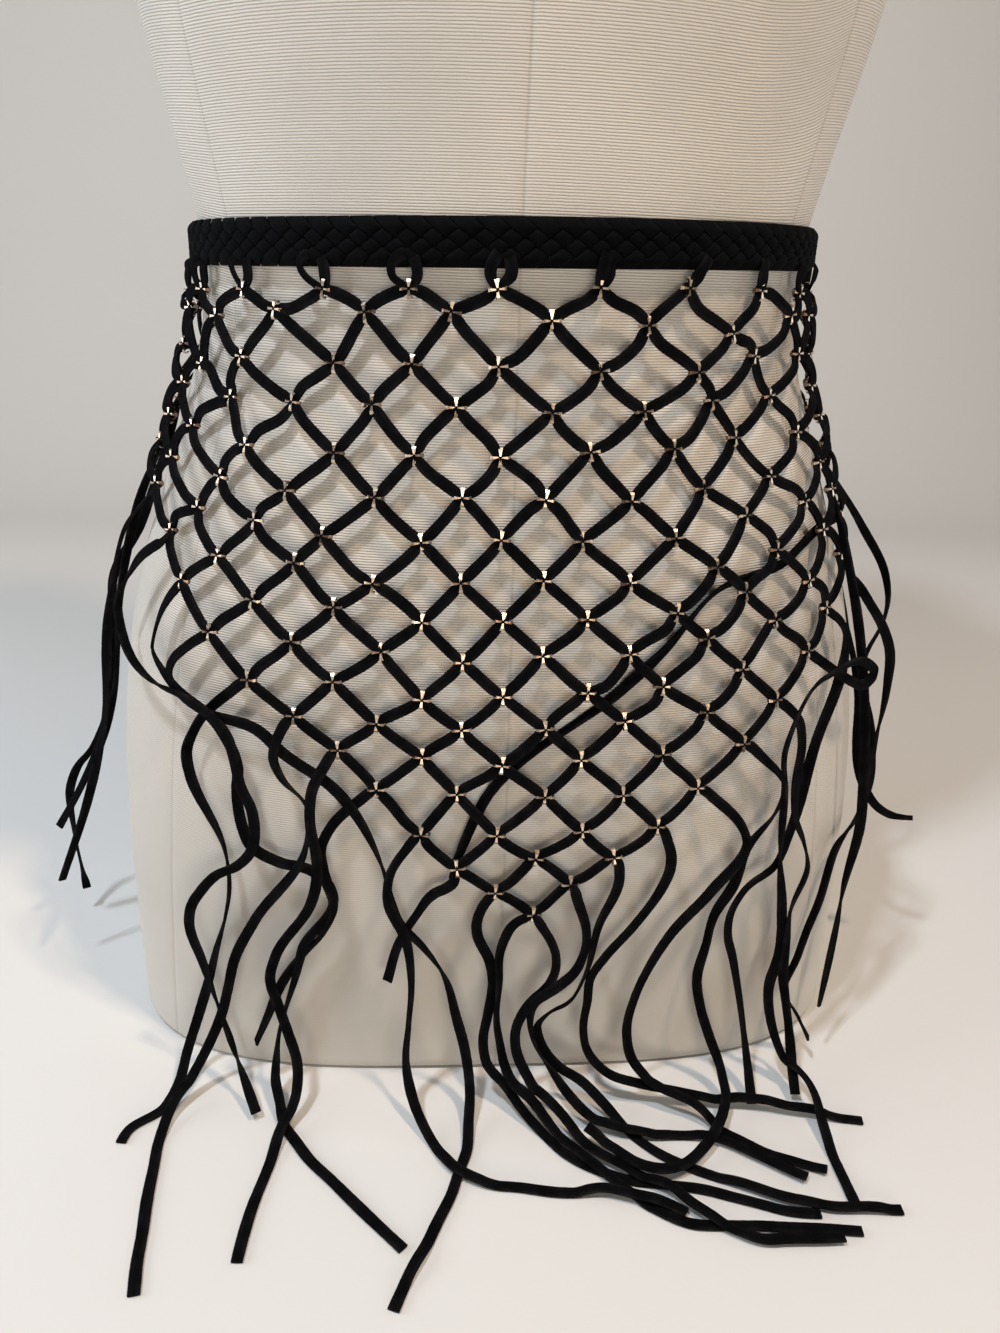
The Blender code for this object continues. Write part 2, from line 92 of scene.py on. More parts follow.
# Ribs rise towards the right princess seam above the waist
RIB_RISE = 0.012
RIB_RISE_REACH = 0.055
RIB_RISE_FROM = 0.345
RIB_RISE_FULL = 0.395
# Panels between the seams, from the left of the centre back: lean of the ribs, and which of the
# panel's two seams they start level at
PANELS = ((1.0, 1), (-1.0, 0), (1.0, 1), (0.0, 0), (0.0, 0), (-1.0, 0), (1.0, 0), (-1.0, 1))
RISING_PANEL = 4

# Band: five laces plaited flat, folded over at both edges
BELT_TOP = 0.346
BELT_HEIGHT = 0.0155
BELT_TILT = 0.022
BELT_OPENING = 0.003
BRAID_STRANDS = 5
BRAID_PERIOD = 0.0425
BRAID_TRAVEL = 0.0145
BRAID_LACE = 0.0047
BRAID_THICK = 0.0014
BRAID_WAVE = 0.0009
BRAID_ROUND = 0.0030
BRAID_TUCK = 0.0013
BRAID_MIDDLE = 0.0028
BRAID_ROWS = 25
BRAID_SEED = 7
BRAID_SKEW = 0.1
# Columns of a plaited lace across its width, from edge to edge
BRAID_COLUMNS = (-1.0, -0.92, -0.46, 0.0, 0.46, 0.92, 1.0)
BRAID_CROWN = 0.0001
# Thinner rim of a plaited lace: where it starts, and how much thinner it ends
BRAID_RIM = 0.85
BRAID_RIM_LOSS = 0.62
# Fold at the band's edge: its part of a lace's way across, and how far it stands out and thins
FOLD_PART = 0.05
FOLD_RISE = 0.0009
FOLD_THINNING = 0.25
BRAID_UNEVEN = 0.06
# Worn edge of a plaited lace: where it starts, and how fast it grows to 1 at the rim
BRAID_WORN = 0.8
BRAID_WORN_RISE = 5
# How a plaited lace stands out on its way from edge to edge: part of the way, and height
BRAID_WEAVE = ((0.0, 0.0), (0.12, 1.0), (0.27, 1.0), (0.33, -1.0), (0.47, -1.0), (0.53, 1.0),
               (0.67, 1.0), (0.73, -1.0), (0.88, -1.0), (1.0, 0.0))

# Net
LACE_WIDTH = 0.0043
LACE_THICK = 0.0012
LACES = 18
LAST_ROW = LACES - 1
NET_MIDDLE = LAST_ROW / 2
LOOP_PITCH = 0.03322
PITCH_LOSS = 0.00047
PITCH_RETURN = 0.00002
BELT_SHIFT = 0.0124
ROW_0_DROP = 0.0074
ROW_1_DROP = 0.0164
ROW_DROP_START = 0.0039
ROW_DROP = 0.01476
ROW_GAIN = 0.00004
HIP_LIFT = 0.0514
MEAN_RADIUS = 0.115
NET_OUT = 0.0055
# How far the legs that run right stand out from the net's middle layer, and the others lie in
LAYER = 0.0006
# Legs that the tables of bows leave out swell away from the net's middle by this many mm
BOW = 1.6
BOW_REACH = 4.0
BOW_SHIFT = 0.5
WANDER = 0.0011
KNOT_WIDTH = 0.0020
KNOT_REACH = 0.0021
# Lace whose eye the hidden laces repeat
PLAIN_EYE = 7
SIDE_FROM = 46
SIDE_FULL = 78
SIDE_FADING = 100
SIDE_TO = 135
SIDE_TURN = 0.75
# Legs at the hips bulge away from the form, some more than others
SIDE_BULGE = 0.0016
BULGE_VARIES = 0.6
# Parts of a leg's way from knot to knot at which it swells
LEG_MARKS = (0.3, 0.7)
SAMPLE = 0.0013

# The knots seen in front, a line for each row: first count along the band, then each knot's shifts
# along, up and out from the even layout, in 0.1 mm
KNOT_SHIFTS = """
3 5,-37,13 15,-21,-12 4,-16,-3 25,-4,-9 4,1,-1 -36,3,0 -23,9,-5 -22,9,-10 -8,-1,-7 -15,-10,-12 -1,-8,1
4.5 -5,-27,4 -14,9,8 6,11,-1 -25,16,2 -19,-10,-2 -4,-28,-2 17,-64,8 15,-3,19
4 13,-43,-12 -18,-2,13 40,3,-12 0,8,0 -31,2,0 -4,-15,-1 36,-29,15 -6,19,-4
4.5 54,-8,-12 25,1,-10 15,9,-2 -14,9,1 -5,-9,-1 4,-12,1 -35,12,-12 -52,8,-12
5 -13,-27,5 25,-18,-7 -3,-12,0 -23,-14,-1 -23,-1,-4 -27,-4,-9 -76,12,-12 -16,-7,-12
4.5 8,-14,-5 -6,-23,2 10,-18,-2 3,-7,0 -18,-15,-1 -21,-33,-5 -49,-11,-12 -45,-7,-12
4 34,-8,-12 9,-3,-4 -28,-23,7 14,-24,0 -17,-12,0 -38,-24,-4 -2,-33,0 -11,12,-6
3.5 11,6,-12 -1,-19,1 11,10,-4 -7,-34,3 -5,-22,1 -18,-15,-1 -11,-37,0 15,-16,7 -6,0,-4
4 -17,-7,13 -5,-9,2 0,11,-1 10,-21,1 -7,-15,1 -8,-16,0 19,-18,7 -1,12,-1 9,-13,9
4.5 -31,-20,18 -9,9,1 13,4,-2 2,-23,4 -12,-3,-1 4,-14,3 0,8,-1 -4,16,-5 -6,-17,-4
5 -28,-24,14 -12,18,-1 7,-25,5 -2,-12,2 7,-8,3 -12,-13,-1 4,2,2 11,-6,10
5.5 -11,3,2 -8,11,-2 0,-2,0 9,-3,1 2,5,-1 16,0,5 13,-19,12
6 -2,27,-6 6,21,-6 2,-8,2 -3,2,-1 6,-6,3 27,-20,16
6.5 -11,18,-4 -14,12,-4 17,-3,2 13,-17,7 2,-33,11
7 5,-22,7 -10,-23,8 16,-19,9 4,-35,13
7.5 -8,-30,12 -6,2,-1 -5,-18,6
8 -7,-9,4 -16,6,-4
8.5 -6,6,-3
"""
# How far each leg swells sideways at 0.3 and 0.7 of its length, in 0.1 mm; "-" is not seen
BOWS_LEFT = """
5 -13,-17 12,19 -11,-12 9,4 9,-2 -4,-7 17,3 28,40
4.5 -24,-6 6,2 1,5 1,0 11,19 24,21 9,4 30,25
5 -22,-23 -4,-16 -2,-7 16,8 16,12 14,8 13,17
5.5 15,-7 10,6 -7,-12 1,0 9,13 14,21 4,5
5 -20,-23 5,1 1,2 16,15 -1,-2 6,0 8,3 25,12
4.5 -10,-6 -3,-13 4,4 4,5 -11,-7 3,1 6,1 2,0
4 -14,-28 8,2 2,-2 8,7 5,2 2,1 -2,-2 6,9
4.5 -3,-4 3,-4 4,5 3,3 2,1 12,5 15,13 21,1
5 -2,-7 6,3 2,0 3,4 10,4 20,1 22,22 19,17
5.5 1,-7 7,5 5,1 4,5 19,28 18,5 -7,-2 12,20
6 1,0 4,0 6,7 -5,-10 26,14 20,18 11,11
6.5 5,-1 3,-4 4,5 2,2 17,12 5,2
7 0,1 6,-1 6,4 4,1 5,2
7.5 -4,-3 4,3 10,10 7,8
8 2,1 9,5 13,10
8.5 4,10 0,6
9 -4,2
"""
BOWS_RIGHT = """
4 - 0,-7 9,11 11,4 7,10 -6,11 -24,-9 14,6
4.5 -1,-15 -4,-2 -1,-6 -7,-3 -5,-2 -14,-2 7,24
4 25,-7 -12,-8 -3,-5 -2,-3 -2,-3 -11,-7 8,16 -12,-18
4.5 1,-17 -11,-7 -7,-8 0,8 -12,-10 -7,-7 3,4 6,20
5 -15,-9 -2,-4 -11,-5 9,16 -9,-5 -3,-5 -7,-7
4.5 -27,-17 -5,-1 -9,-7 3,1 9,3 6,2 0,3
4 -25,-18 -20,-12 -10,-16 0,1 1,0 -3,3 2,4 15,25
3.5 -9,-9 0,-2 -3,-8 9,9 -1,-1 0,1 -4,-1 - 6,9
4 -8,-10 -6,-9 -7,-1 -4,-4 -1,-1 -3,-2 -3,-3 -3,1 27,40
4.5 -6,-7 -12,-10 -5,-2 -1,-4 -1,-6 -5,-1 -4,-2 -2,9
5 -5,-5 -3,-3 -8,-7 -2,-3 -1,-1 -4,-1 1,2
5.5 -6,-4 -5,-3 -7,-3 -1,0 -1,-1 -2,2
6 1,3 -4,-2 -2,0 -1,2 -3,3
6.5 -1,-10 -3,-2 -3,-4 1,2
7 -13,-9 -13,-13 -10,-9
7.5 -1,-2 3,3
8 6,6
"""
# Eyes of the laces at the band's lower edge: lace counted from the left, left or right half, and the
# places along it from its knot up, each with its offsets across, up and out and its width, in 0.1 mm
EYES = """
5 -1 -16,18,4,19 -34,44,8,17 -52,72,8,18 -58,100,6,26 -46,124,-24,30
5 1 10,18,0,34 24,44,0,42 25,74,2,42 20,102,-2,42 18,124,-24,40
6 -1 -22,10,6,26 -62,38,12,25 -84,74,16,24 -70,108,14,34 -36,120,-24,40
6 1 6,16,0,34 6,42,2,43 4,74,4,43 -4,100,2,43 -12,124,-24,40
7 -1 -20,12,6,26 -52,36,12,27 -58,70,16,30 -38,102,15,42 -6,122,-24,42
7 1 12,14,0,32 26,40,2,38 26,70,4,38 16,96,-2,40 8,120,-24,40
8 -1 -12,16,2,32 -24,44,4,42 -22,74,8,43 -8,104,9,43 8,126,-24,42
8 1 16,16,0,32 42,44,0,44 44,74,2,44 36,102,-6,43 30,122,-24,42
9 -1 -6,18,5,34 0,46,8,43 6,76,10,43 12,104,9,43 20,126,-24,42
9 1 16,16,0,32 32,44,-6,40 30,74,-8,42 26,100,-14,42 24,120,-30,42
10 -1 8,18,5,32 26,42,8,42 48,70,10,43 66,100,9,43 78,124,-24,42
10 1 20,14,0,30 46,38,-6,38 60,68,-8,40 72,96,-14,40 80,120,-30,40
11 -1 -8,18,5,32 -8,46,8,43 -4,76,10,44 2,104,9,44 8,126,-24,42
11 1 12,16,0,30 24,44,-6,38 22,74,-8,40 18,100,-14,40 16,120,-30,40
"""


def spline(xs, ys, x):
    """Height at x of the smooth curve through the points (xs, ys)."""
    last = len(xs) - 1
    x = min(max(x, xs[0]), xs[last])
    right = min(max(bisect_right(xs, x), 1), last)
    left = right - 1

    def slope(at):
        low, high = max(at - 1, 0), min(at + 1, last)
        return (ys[high] - ys[low]) / (xs[high] - xs[low])

    step = xs[right] - xs[left]
    t = (x - xs[left]) / step
    rest = 1 - t
    value = (1 + 2 * t) * rest * rest * ys[left] + t * t * (3 - 2 * t) * ys[right]
    return value + step * t * rest * (rest * slope(left) - t * slope(right))


HEIGHTS = [section.height for section in FORM]
COLUMNS = [[section[column] for section in FORM] for column in range(1, 5)]


@lru_cache(maxsize=None)
def outline(height):
    """Half width, front and back depth and squareness of the form at this height."""
    return tuple(spline(HEIGHTS, column, height) for column in COLUMNS)


def reach(turn, height):
    """Distance from the form's axis to its surface."""
    half_width, front, back, square = outline(height)
    side, ahead = math.sin(turn), math.cos(turn)
    depth = front if ahead > 0 else back
    return (abs(side / half_width) ** square + abs(ahead / depth) ** square) ** (-1 / square)


def polar(turn, height, out=0.0):
    """Point at a distance out from the form's surface, straight away from its axis."""
    radius = reach(turn, height) + out
    return Vector((radius * math.sin(turn), -radius * math.cos(turn), height))


def facing(turn, height):
    """Outward normal of the form's surface."""
    nudge = 0.002
    along = polar(turn + nudge, height) - polar(turn - nudge, height)
    up = polar(turn, height + nudge) - polar(turn, height - nudge)
    return along.cross(up).normalized()


@lru_cache(maxsize=None)
def arc_table(height_mm):
    """Turns, and the distances across at each, around the section at this height."""
    turns = [math.radians(step) for step in range(-180, 181, 3)]
    points = [polar(turn, height_mm / 1000) for turn in turns]
    lengths = [0.0]
    for before, after in zip(points, points[1:]):
        lengths.append(lengths[-1] + (after - before).length)
    middle = lengths[len(lengths) // 2]
    return turns, [length - middle for length in lengths]


def turn_at(across, height):
    """Turn at this distance across."""
    turns, lengths = arc_table(round(height * 1000))
    return spline(lengths, turns, across)


def across_at(turn, height):
    """Distance across at this turn."""
    turns, lengths = arc_table(round(height * 1000))
    return spline(turns, lengths, turn)


# Meshes

LACE_SHARP = math.radians(40)


def new_piece(name, vertices, faces, material, smooth=True):
    """Mesh object in the scene."""
    mesh = bpy.data.meshes.new(name)
    mesh.from_pydata([tuple(vertex) for vertex in vertices], [], faces)
    mesh.validate()
    mesh.materials.append(material)
    piece = bpy.data.objects.new(name, mesh)
    bpy.context.scene.collection.objects.link(piece)
    if smooth:
        mesh.shade_smooth()
    return piece


def add_attribute(piece, name, values):
    """Gives each point of the piece a value for its material."""
    layer = piece.data.attributes.new(name, "FLOAT", "POINT")
    layer.data.foreach_set("value", values)


def ring_faces(first, size, rings):
    """Faces that join rings of vertices, from the vertex numbered first, and close both ends."""
    faces = []
    for ring in range(rings - 1):
        start = first + ring * size
        for corner in range(size):
            past = (corner + 1) % size
            faces.append((start + corner, start + past, start + size + past, start + size + corner))
    faces.append(tuple(range(first, first + size))[::-1])
    end = first + (rings - 1) * size
    faces.append(tuple(range(end, end + size)))
    return faces


class Builder:
    """Collects the vertices, faces and wear values of the laces that make one piece."""

    def __init__(self):
        self.vertices = []
        self.faces = []
        self.edges = []

    def add_tube(self, loops, edges):
        """Adds a closed tube through the loops, with the wear of each of a loop's points."""
        self.faces.extend(ring_faces(len(self.vertices), len(edges), len(loops)))
        for loop in loops:
            self.vertices.extend(loop)
            self.edges.extend(edges)

    def finish(self, name, material):
        """Makes the piece."""
        piece = new_piece(name, self.vertices, self.faces, material)
        add_attribute(piece, "edge", self.edges)
        piece.data.set_sharp_from_angle(angle=LACE_SHARP)
        return piece


# Flat lace's cross-section: place across its width, place through its thickness, worn edge
LACE_SECTION = (
    (-0.5, -0.22, 1.0), (-0.44, -0.5, 0.5), (0.0, -0.5, 0.0), (0.44, -0.5, 0.5), (0.5, -0.22, 1.0),
    (0.5, 0.22, 1.0), (0.44, 0.5, 0.5), (0.0, 0.5, 0.0), (-0.44, 0.5, 0.5), (-0.5, 0.22, 1.0),
)
SECTION_EDGES = [edge for _, _, edge in LACE_SECTION]


def lace_loops(points, normals, widths, thick, cup=0.0):
    """Rings of a flat lace along its path. A cup bends its two edges towards its face."""
    loops = []
    last = len(points) - 1
    for at, point in enumerate(points):
        ahead = (points[min(at + 1, last)] - points[max(at - 1, 0)]).normalized()
        side = ahead.cross(normals[at]).normalized()
        face = side.cross(ahead).normalized()
        loop = []
        for aside, through, _ in LACE_SECTION:
            lift = through * thick + cup * (4 * aside * aside - 0.5)
            loop.append(point + side * (aside * widths[at]) + face * lift)
        loops.append(loop)
    return loops


def catmull(points, spacing):
    """Even samples on the smooth curve through the points, with the parameter of each."""
    padded = [points[0] * 2 - points[1], *points, points[-1] * 2 - points[-2]]
    samples, marks = [], []
    for at in range(len(points) - 1):
        a, b, c, d = padded[at:at + 4]
        count = max(round((c - b).length / spacing), 1)
        for step in range(count):
            t = step / count
            samples.append(0.5 * (2 * b + (c - a) * t + (2 * a - 5 * b + 4 * c - d) * t * t
                                  + (3 * b - a - 3 * c + d) * t * t * t))
            marks.append(at + t)
    samples.append(points[-1].copy())
    marks.append(len(points) - 1.0)
    return samples, marks


# Form

JUST_UNDER_PI = math.pi - 1e-6
COVER_SHARP = math.radians(50)


def seam_turns(side, table, height):
    """Turn of one seam at this height."""
    return side * math.radians(spline(SEAM_HEIGHTS, table, height))


def seam_list(height):
    """Turns of all seams at this height, from the centre back round to it."""
    halves = [seam_turns(1, table, height) for table in (PRINCESS_TURNS, SIDE_TURNS, BACK_TURNS)]
    return [-math.pi, -halves[2], -halves[1], -halves[0], 0.0, halves[0], halves[1], halves[2], math.pi]


def rib_phase(turn, height):
    """Height along the ribs, which lean one way or the other from seam to seam."""
    seams = seam_list(height)
    panel = min(max(bisect_right(seams, turn) - 1, 0), len(PANELS) - 1)
    lean, level_seam = PANELS[panel]
    across = across_at(turn, height)
    rise = 0.0
    if panel == RISING_PANEL:
        near = max(1 - (across_at(seams[panel + 1], height) - across) / RIB_RISE_REACH, 0.0)
        above = (height - RIB_RISE_FROM) / (RIB_RISE_FULL - RIB_RISE_FROM)
        rise = RIB_RISE * near * near * min(max(above, 0.0), 1.0)
    return height - rise + lean * RIB_LEAN * (across - across_at(seams[panel + level_seam], height))


def seam_groove(turn, height):
    """Depth of the cover's stitched seams here."""
    depth = 0.0
    radius = reach(turn, height)
    for seam in seam_list(height):
        gap = abs(turn - seam) * radius
        depth = max(depth, math.exp(-(gap / SEAM_HALF_WIDTH) ** 2))
    return depth


def cover_heights():
    """Heights of the cover's rings, close together at the rounded base edge."""
    top = FORM[-1].height
    heights = [height for height, _ in BASE_RINGS]
    while heights[-1] + FORM_RING_STEP < top - MM:
        heights.append(heights[-1] + FORM_RING_STEP)
    return [*heights, top]


def cover_turns(height):
    """Turns of the cover's points on one ring, close together at the seams."""
    turns = []
    seams = seam_list(height)
    for start, end in zip(seams, seams[1:]):
        radius = reach((start + end) / 2, height)
        near = [step / radius for step in SEAM_STEPS]
        inner_start, inner_end = start + near[-1], end - near[-1]
        turns.extend(start + gap for gap in near[:-1])
        turns.extend(inner_start + (inner_end - inner_start) * step / PANEL_COLUMNS
                     for step in range(PANEL_COLUMNS + 1))
        turns.extend(end - gap for gap in near[-2:0:-1])
    return turns


def add_form_cover(material):
    """Sewn cover of the form, its seams pressed in, with a narrow rounded base edge."""
    heights = cover_heights()
    insets = {height: BASE_ROUND * share for height, share in BASE_RINGS}
    vertices, ribs, grooves = [], [], []
    for height in heights:
        turns = cover_turns(height)
        for turn in turns:
            groove = seam_groove(turn, height)
            vertices.append(polar(turn, height, -groove * SEAM_DEPTH - insets.get(height, 0.0)))
            ribs.append(rib_phase(min(max(turn, -JUST_UNDER_PI), JUST_UNDER_PI), height))
            grooves.append(groove)
    piece = new_piece("form_cover", vertices, ring_faces(0, len(turns), len(heights)), material)
    add_attribute(piece, "rib", ribs)
    add_attribute(piece, "seam", grooves)
    piece.data.set_sharp_from_angle(angle=COVER_SHARP)
    return piece


# Band


def belt_rise(across):
    """How much higher the worn band sits here than at its middle."""
    return BELT_TILT * WAIST.half_width * math.sin(across / MEAN_RADIUS)


def belt_height(across):
    """Height of the band's middle line."""
    return BELT_TOP - BELT_HEIGHT / 2 + belt_rise(across)


@lru_cache(maxsize=None)
def belt_seat(across_mm):
    """Seat and outward direction of the band's middle line at this many millimetres across."""
    across = across_mm * MM
    height = belt_height(across)
    turn = turn_at(across, height)
    widest = max(reach(turn, height + edge) for edge in (-BELT_HEIGHT / 2, 0, BELT_HEIGHT / 2))
    outward = facing(turn, height)
    outward.z = 0
    return polar(turn, height, widest - reach(turn, height)), outward.normalized()


def on_belt(across, up, out):
    """Point of the band, up from its middle line and out from its seat."""
    low = math.floor(across / MM)
    part = across / MM - low
    seat_a, outward_a = belt_seat(low)
    seat_b, outward_b = belt_seat(low + 1)
    outward = outward_a.lerp(outward_b, part).normalized()
    return seat_a.lerp(seat_b, part) + outward * out + Vector((0, 0, up))


def waist_ends():
    """Distances across at which the band ends at the back."""
    lengths = arc_table(round(belt_height(0.0) * 1000))[1]
    return lengths[0] + BELT_OPENING / 2, lengths[-1] - BELT_OPENING / 2


def weave(fraction):
    """How far a plaited lace stands out at this fraction of its way from edge to edge."""
    for (start, before), (end, after) in zip(BRAID_WEAVE, BRAID_WEAVE[1:]):
        if fraction <= end:
            t = (fraction - start) / (end - start)
            t = t * t * (3 - 2 * t)
            return before + (after - before) * t
    return 0.0


def plait_ring(centre, part, rising, half_run, unevenness):
    """Ring of a plaited lace that is this part of the way from one edge of the band to the other."""
    travel = part if rising else 1 - part
    up = (travel - 0.5) * BRAID_TRAVEL
    fold = math.exp(-(min(part, 1 - part) / FOLD_PART) ** 2)
    up += math.copysign(FOLD_RISE * fold, up)
    rim_gap = max(1 - (BELT_HEIGHT / 2 - abs(up)) / BRAID_ROUND, 0.0)
    tuck = BRAID_TUCK * rim_gap * rim_gap
    thick = BRAID_THICK * (1 - FOLD_THINNING * fold) * (1 + BRAID_UNEVEN * unevenness)
    top, bottom = [], []
    for column in BRAID_COLUMNS:
        rim = 1 - BRAID_RIM_LOSS * max(abs(column) - BRAID_RIM, 0) / (1 - BRAID_RIM)
        place = min(max(part + BRAID_SKEW * column, 0.0), 1.0)
        middle = BRAID_MIDDLE + weave(place) * BRAID_WAVE - tuck
        crown = BRAID_CROWN * (1 - column * column)
        across = centre + column * half_run
        top.append(on_belt(across, up, middle + crown + thick / 2 * rim))
        bottom.append(on_belt(across, up, middle - thick / 2 * rim))
    return top + bottom[::-1]


def add_band(material):
    """Five laces that run to and fro across the band, each folded over at its edges."""
    start, end = waist_ends()
    half_period = BRAID_PERIOD / 2
    half_run = BRAID_LACE / 2 / math.sin(math.atan(BRAID_TRAVEL / half_period))
    edges = [max(abs(column) - BRAID_WORN, 0) * BRAID_WORN_RISE for column in BRAID_COLUMNS]
    builder = Builder()
    randomly = random.Random(BRAID_SEED)
    for strand in range(BRAID_STRANDS):
        offset = start - BRAID_PERIOD + strand * BRAID_PERIOD / BRAID_STRANDS
        halves = math.ceil((end - offset) / half_period)
        loops = []
        for row in range(halves * BRAID_ROWS + 1):
            fraction = row / BRAID_ROWS
            centre = offset + fraction * half_period
            if centre - half_run < start or centre + half_run > end:
                continue
            whole = math.floor(fraction)
            unevenness = randomly.uniform(-1, 1)
            loops.append(plait_ring(centre, fraction - whole, whole % 2 == 0, half_run, unevenness))
        builder.add_tube(loops, edges + edges[::-1])
    return builder.finish("belt_plait", material)


# Net


def row_drop(row):
    """How far a row of knots hangs under the band."""
    if row < 1:
        return ROW_0_DROP
    if row < 2:
        return ROW_1_DROP
    return ROW_DROP_START + ROW_DROP * row - ROW_GAIN * row * row


def read_sizes(word):
    """Sizes of a word like 5,-37,13, which gives them in 0.1 mm."""
    return tuple(int(number) * MM / 10 for number in word.split(","))


def read_rows(table):
    """Dictionary of (count, row) to the sizes that stand there, or None."""
    found = {}
    for row, line in enumerate(table.strip().split("\n")):
        first, *words = line.split()
        for step, word in enumerate(words):
            found[float(first) + step, row] = None if word == "-" else read_sizes(word)
    return found


def read_eyes(table):
    """Dictionary of (lace, side) to the offsets and widths along that half of its eye."""
    halves = {}
    for line in table.strip().split("\n"):
        lace, side, *words = line.split()
        halves[int(lace), int(side)] = [read_sizes(word) for word in words]
    return halves


SEEN_KNOTS = read_rows(KNOT_SHIFTS)
SEEN_BOWS = {-1: read_rows(BOWS_LEFT), 1: read_rows(BOWS_RIGHT)}
SEEN_EYES = read_eyes(EYES)


@lru_cache(maxsize=None)
def knot(loop, row):
    """Distance across, height and distance out of the knot at this count along the band and this row."""
    wide = loop - NET_MIDDLE
    across = BELT_SHIFT + wide * (LOOP_PITCH - PITCH_LOSS * row + PITCH_RETURN * row * row)
    height = BELT_TOP - BELT_HEIGHT + belt_rise(across) - row_drop(row)
    height += HIP_LIFT * across * across * max(row - 2, 0)
    seen = SEEN_KNOTS.get((loop, row))
    if seen:
        return across + seen[0], height + seen[1], NET_OUT + seen[2]
    if row > 0:
        across += WANDER * math.sin(2.1 * row + 3.7 * loop)
        height += WANDER * math.cos(1.7 * row - 2.9 * loop)
    return across, height, NET_OUT


def side_share(turn):
    """How much a lace here is turned towards the front: none in front, all at the hips."""
    bare = abs(math.degrees(turn))
    rising = min(max((bare - SIDE_FROM) / (SIDE_FULL - SIDE_FROM), 0.0), 1.0)
    falling = min(max((SIDE_TO - bare) / (SIDE_TO - SIDE_FADING), 0.0), 1.0)
    return rising * rising * (3 - 2 * rising) * falling


def net_point(across, height, out, bulge=0.0):
    """Point of the net, and the way its face looks."""
    turn = turn_at(across, height)
    share = side_share(turn)
    normal = facing(turn, height)
    point = polar(turn, height) + normal * (out + bulge * share)
    return point, (normal + Vector((0, -SIDE_TURN * share, 0))).normalized()


def leg_bows(lace, side, row):
    """Sideways swell of one leg at 0.3 and 0.7 of the way from this row to the next."""
    loop = lace + side * row / 2
    seen = SEEN_BOWS[side].get((loop, row))
    if seen:
        return seen
    middle = loop + side * 0.25 - NET_MIDDLE
    bow = BOW * MM * min(max(middle / BOW_REACH, -1), 1)
    shift = BOW_SHIFT * MM * math.sin(1.3 * lace + 2.3 * row)
    return bow + shift, bow - shift


def leg_controls(lace, side, last_row):
    """Control points of one leg of a lace from its row 0 knot: (point, normal, True at a knot)."""
    controls = []
    for row in range(last_row + 1):
        here = knot(lace + side * row / 2, row)
        controls.append((*net_point(here[0], here[1], here[2] + side * LAYER), True))
        if row == last_row:
            break
        there = knot(lace + side * (row + 1) / 2, row + 1)
        along = Vector((there[0] - here[0], there[1] - here[1]))
        across_way = Vector((-along.y, along.x)).normalized()
        if across_way.x < 0:
            across_way.negate()
        bulge = SIDE_BULGE * (1 + BULGE_VARIES * math.sin(4.1 * lace + 2.7 * row + side))
        for part, bow in zip(LEG_MARKS, leg_bows(lace, side, row)):
            mark = [here[axis] + (there[axis] - here[axis]) * part for axis in range(3)]
            point = net_point(mark[0] + across_way.x * bow, mark[1] + across_way.y * bow, mark[2], bulge)
            controls.append((*point, False))
    return controls


def eye_controls(lace, side):
    """Control points of one half of an eye, upwards from the knot: (point, normal, width)."""
    across, height, out = knot(lace, 0)
    controls = []
    for aside, up, lift, width in SEEN_EYES.get((lace, side), SEEN_EYES[PLAIN_EYE, side]):
        controls.append((*net_point(across + aside, height + up, out + lift), width))
    return controls


def smooth_path(controls, spacing=SAMPLE):
    """Samples, normals and parameters along the curve through (point, normal, ...) controls."""
    points, marks = catmull([control[0] for control in controls], spacing)
    normals = []
    last = len(controls) - 1
    for mark in marks:
        low = min(math.floor(mark), last)
        high = min(low + 1, last)
        normals.append(controls[low][1].lerp(controls[high][1], mark - low).normalized())
    return points, normals, marks


def pinch(points, knots, width):
    """Widths along a lace, drawn in where a knot grips it."""
    widths = []
    for point in points:
        near = min((point - spot).length for spot in knots)
        widths.append(width - (width - KNOT_WIDTH) * math.exp(-(near / KNOT_REACH) ** 2))
    return widths


# Fringe

Strand = namedtuple("Strand", "row pile roll bends")
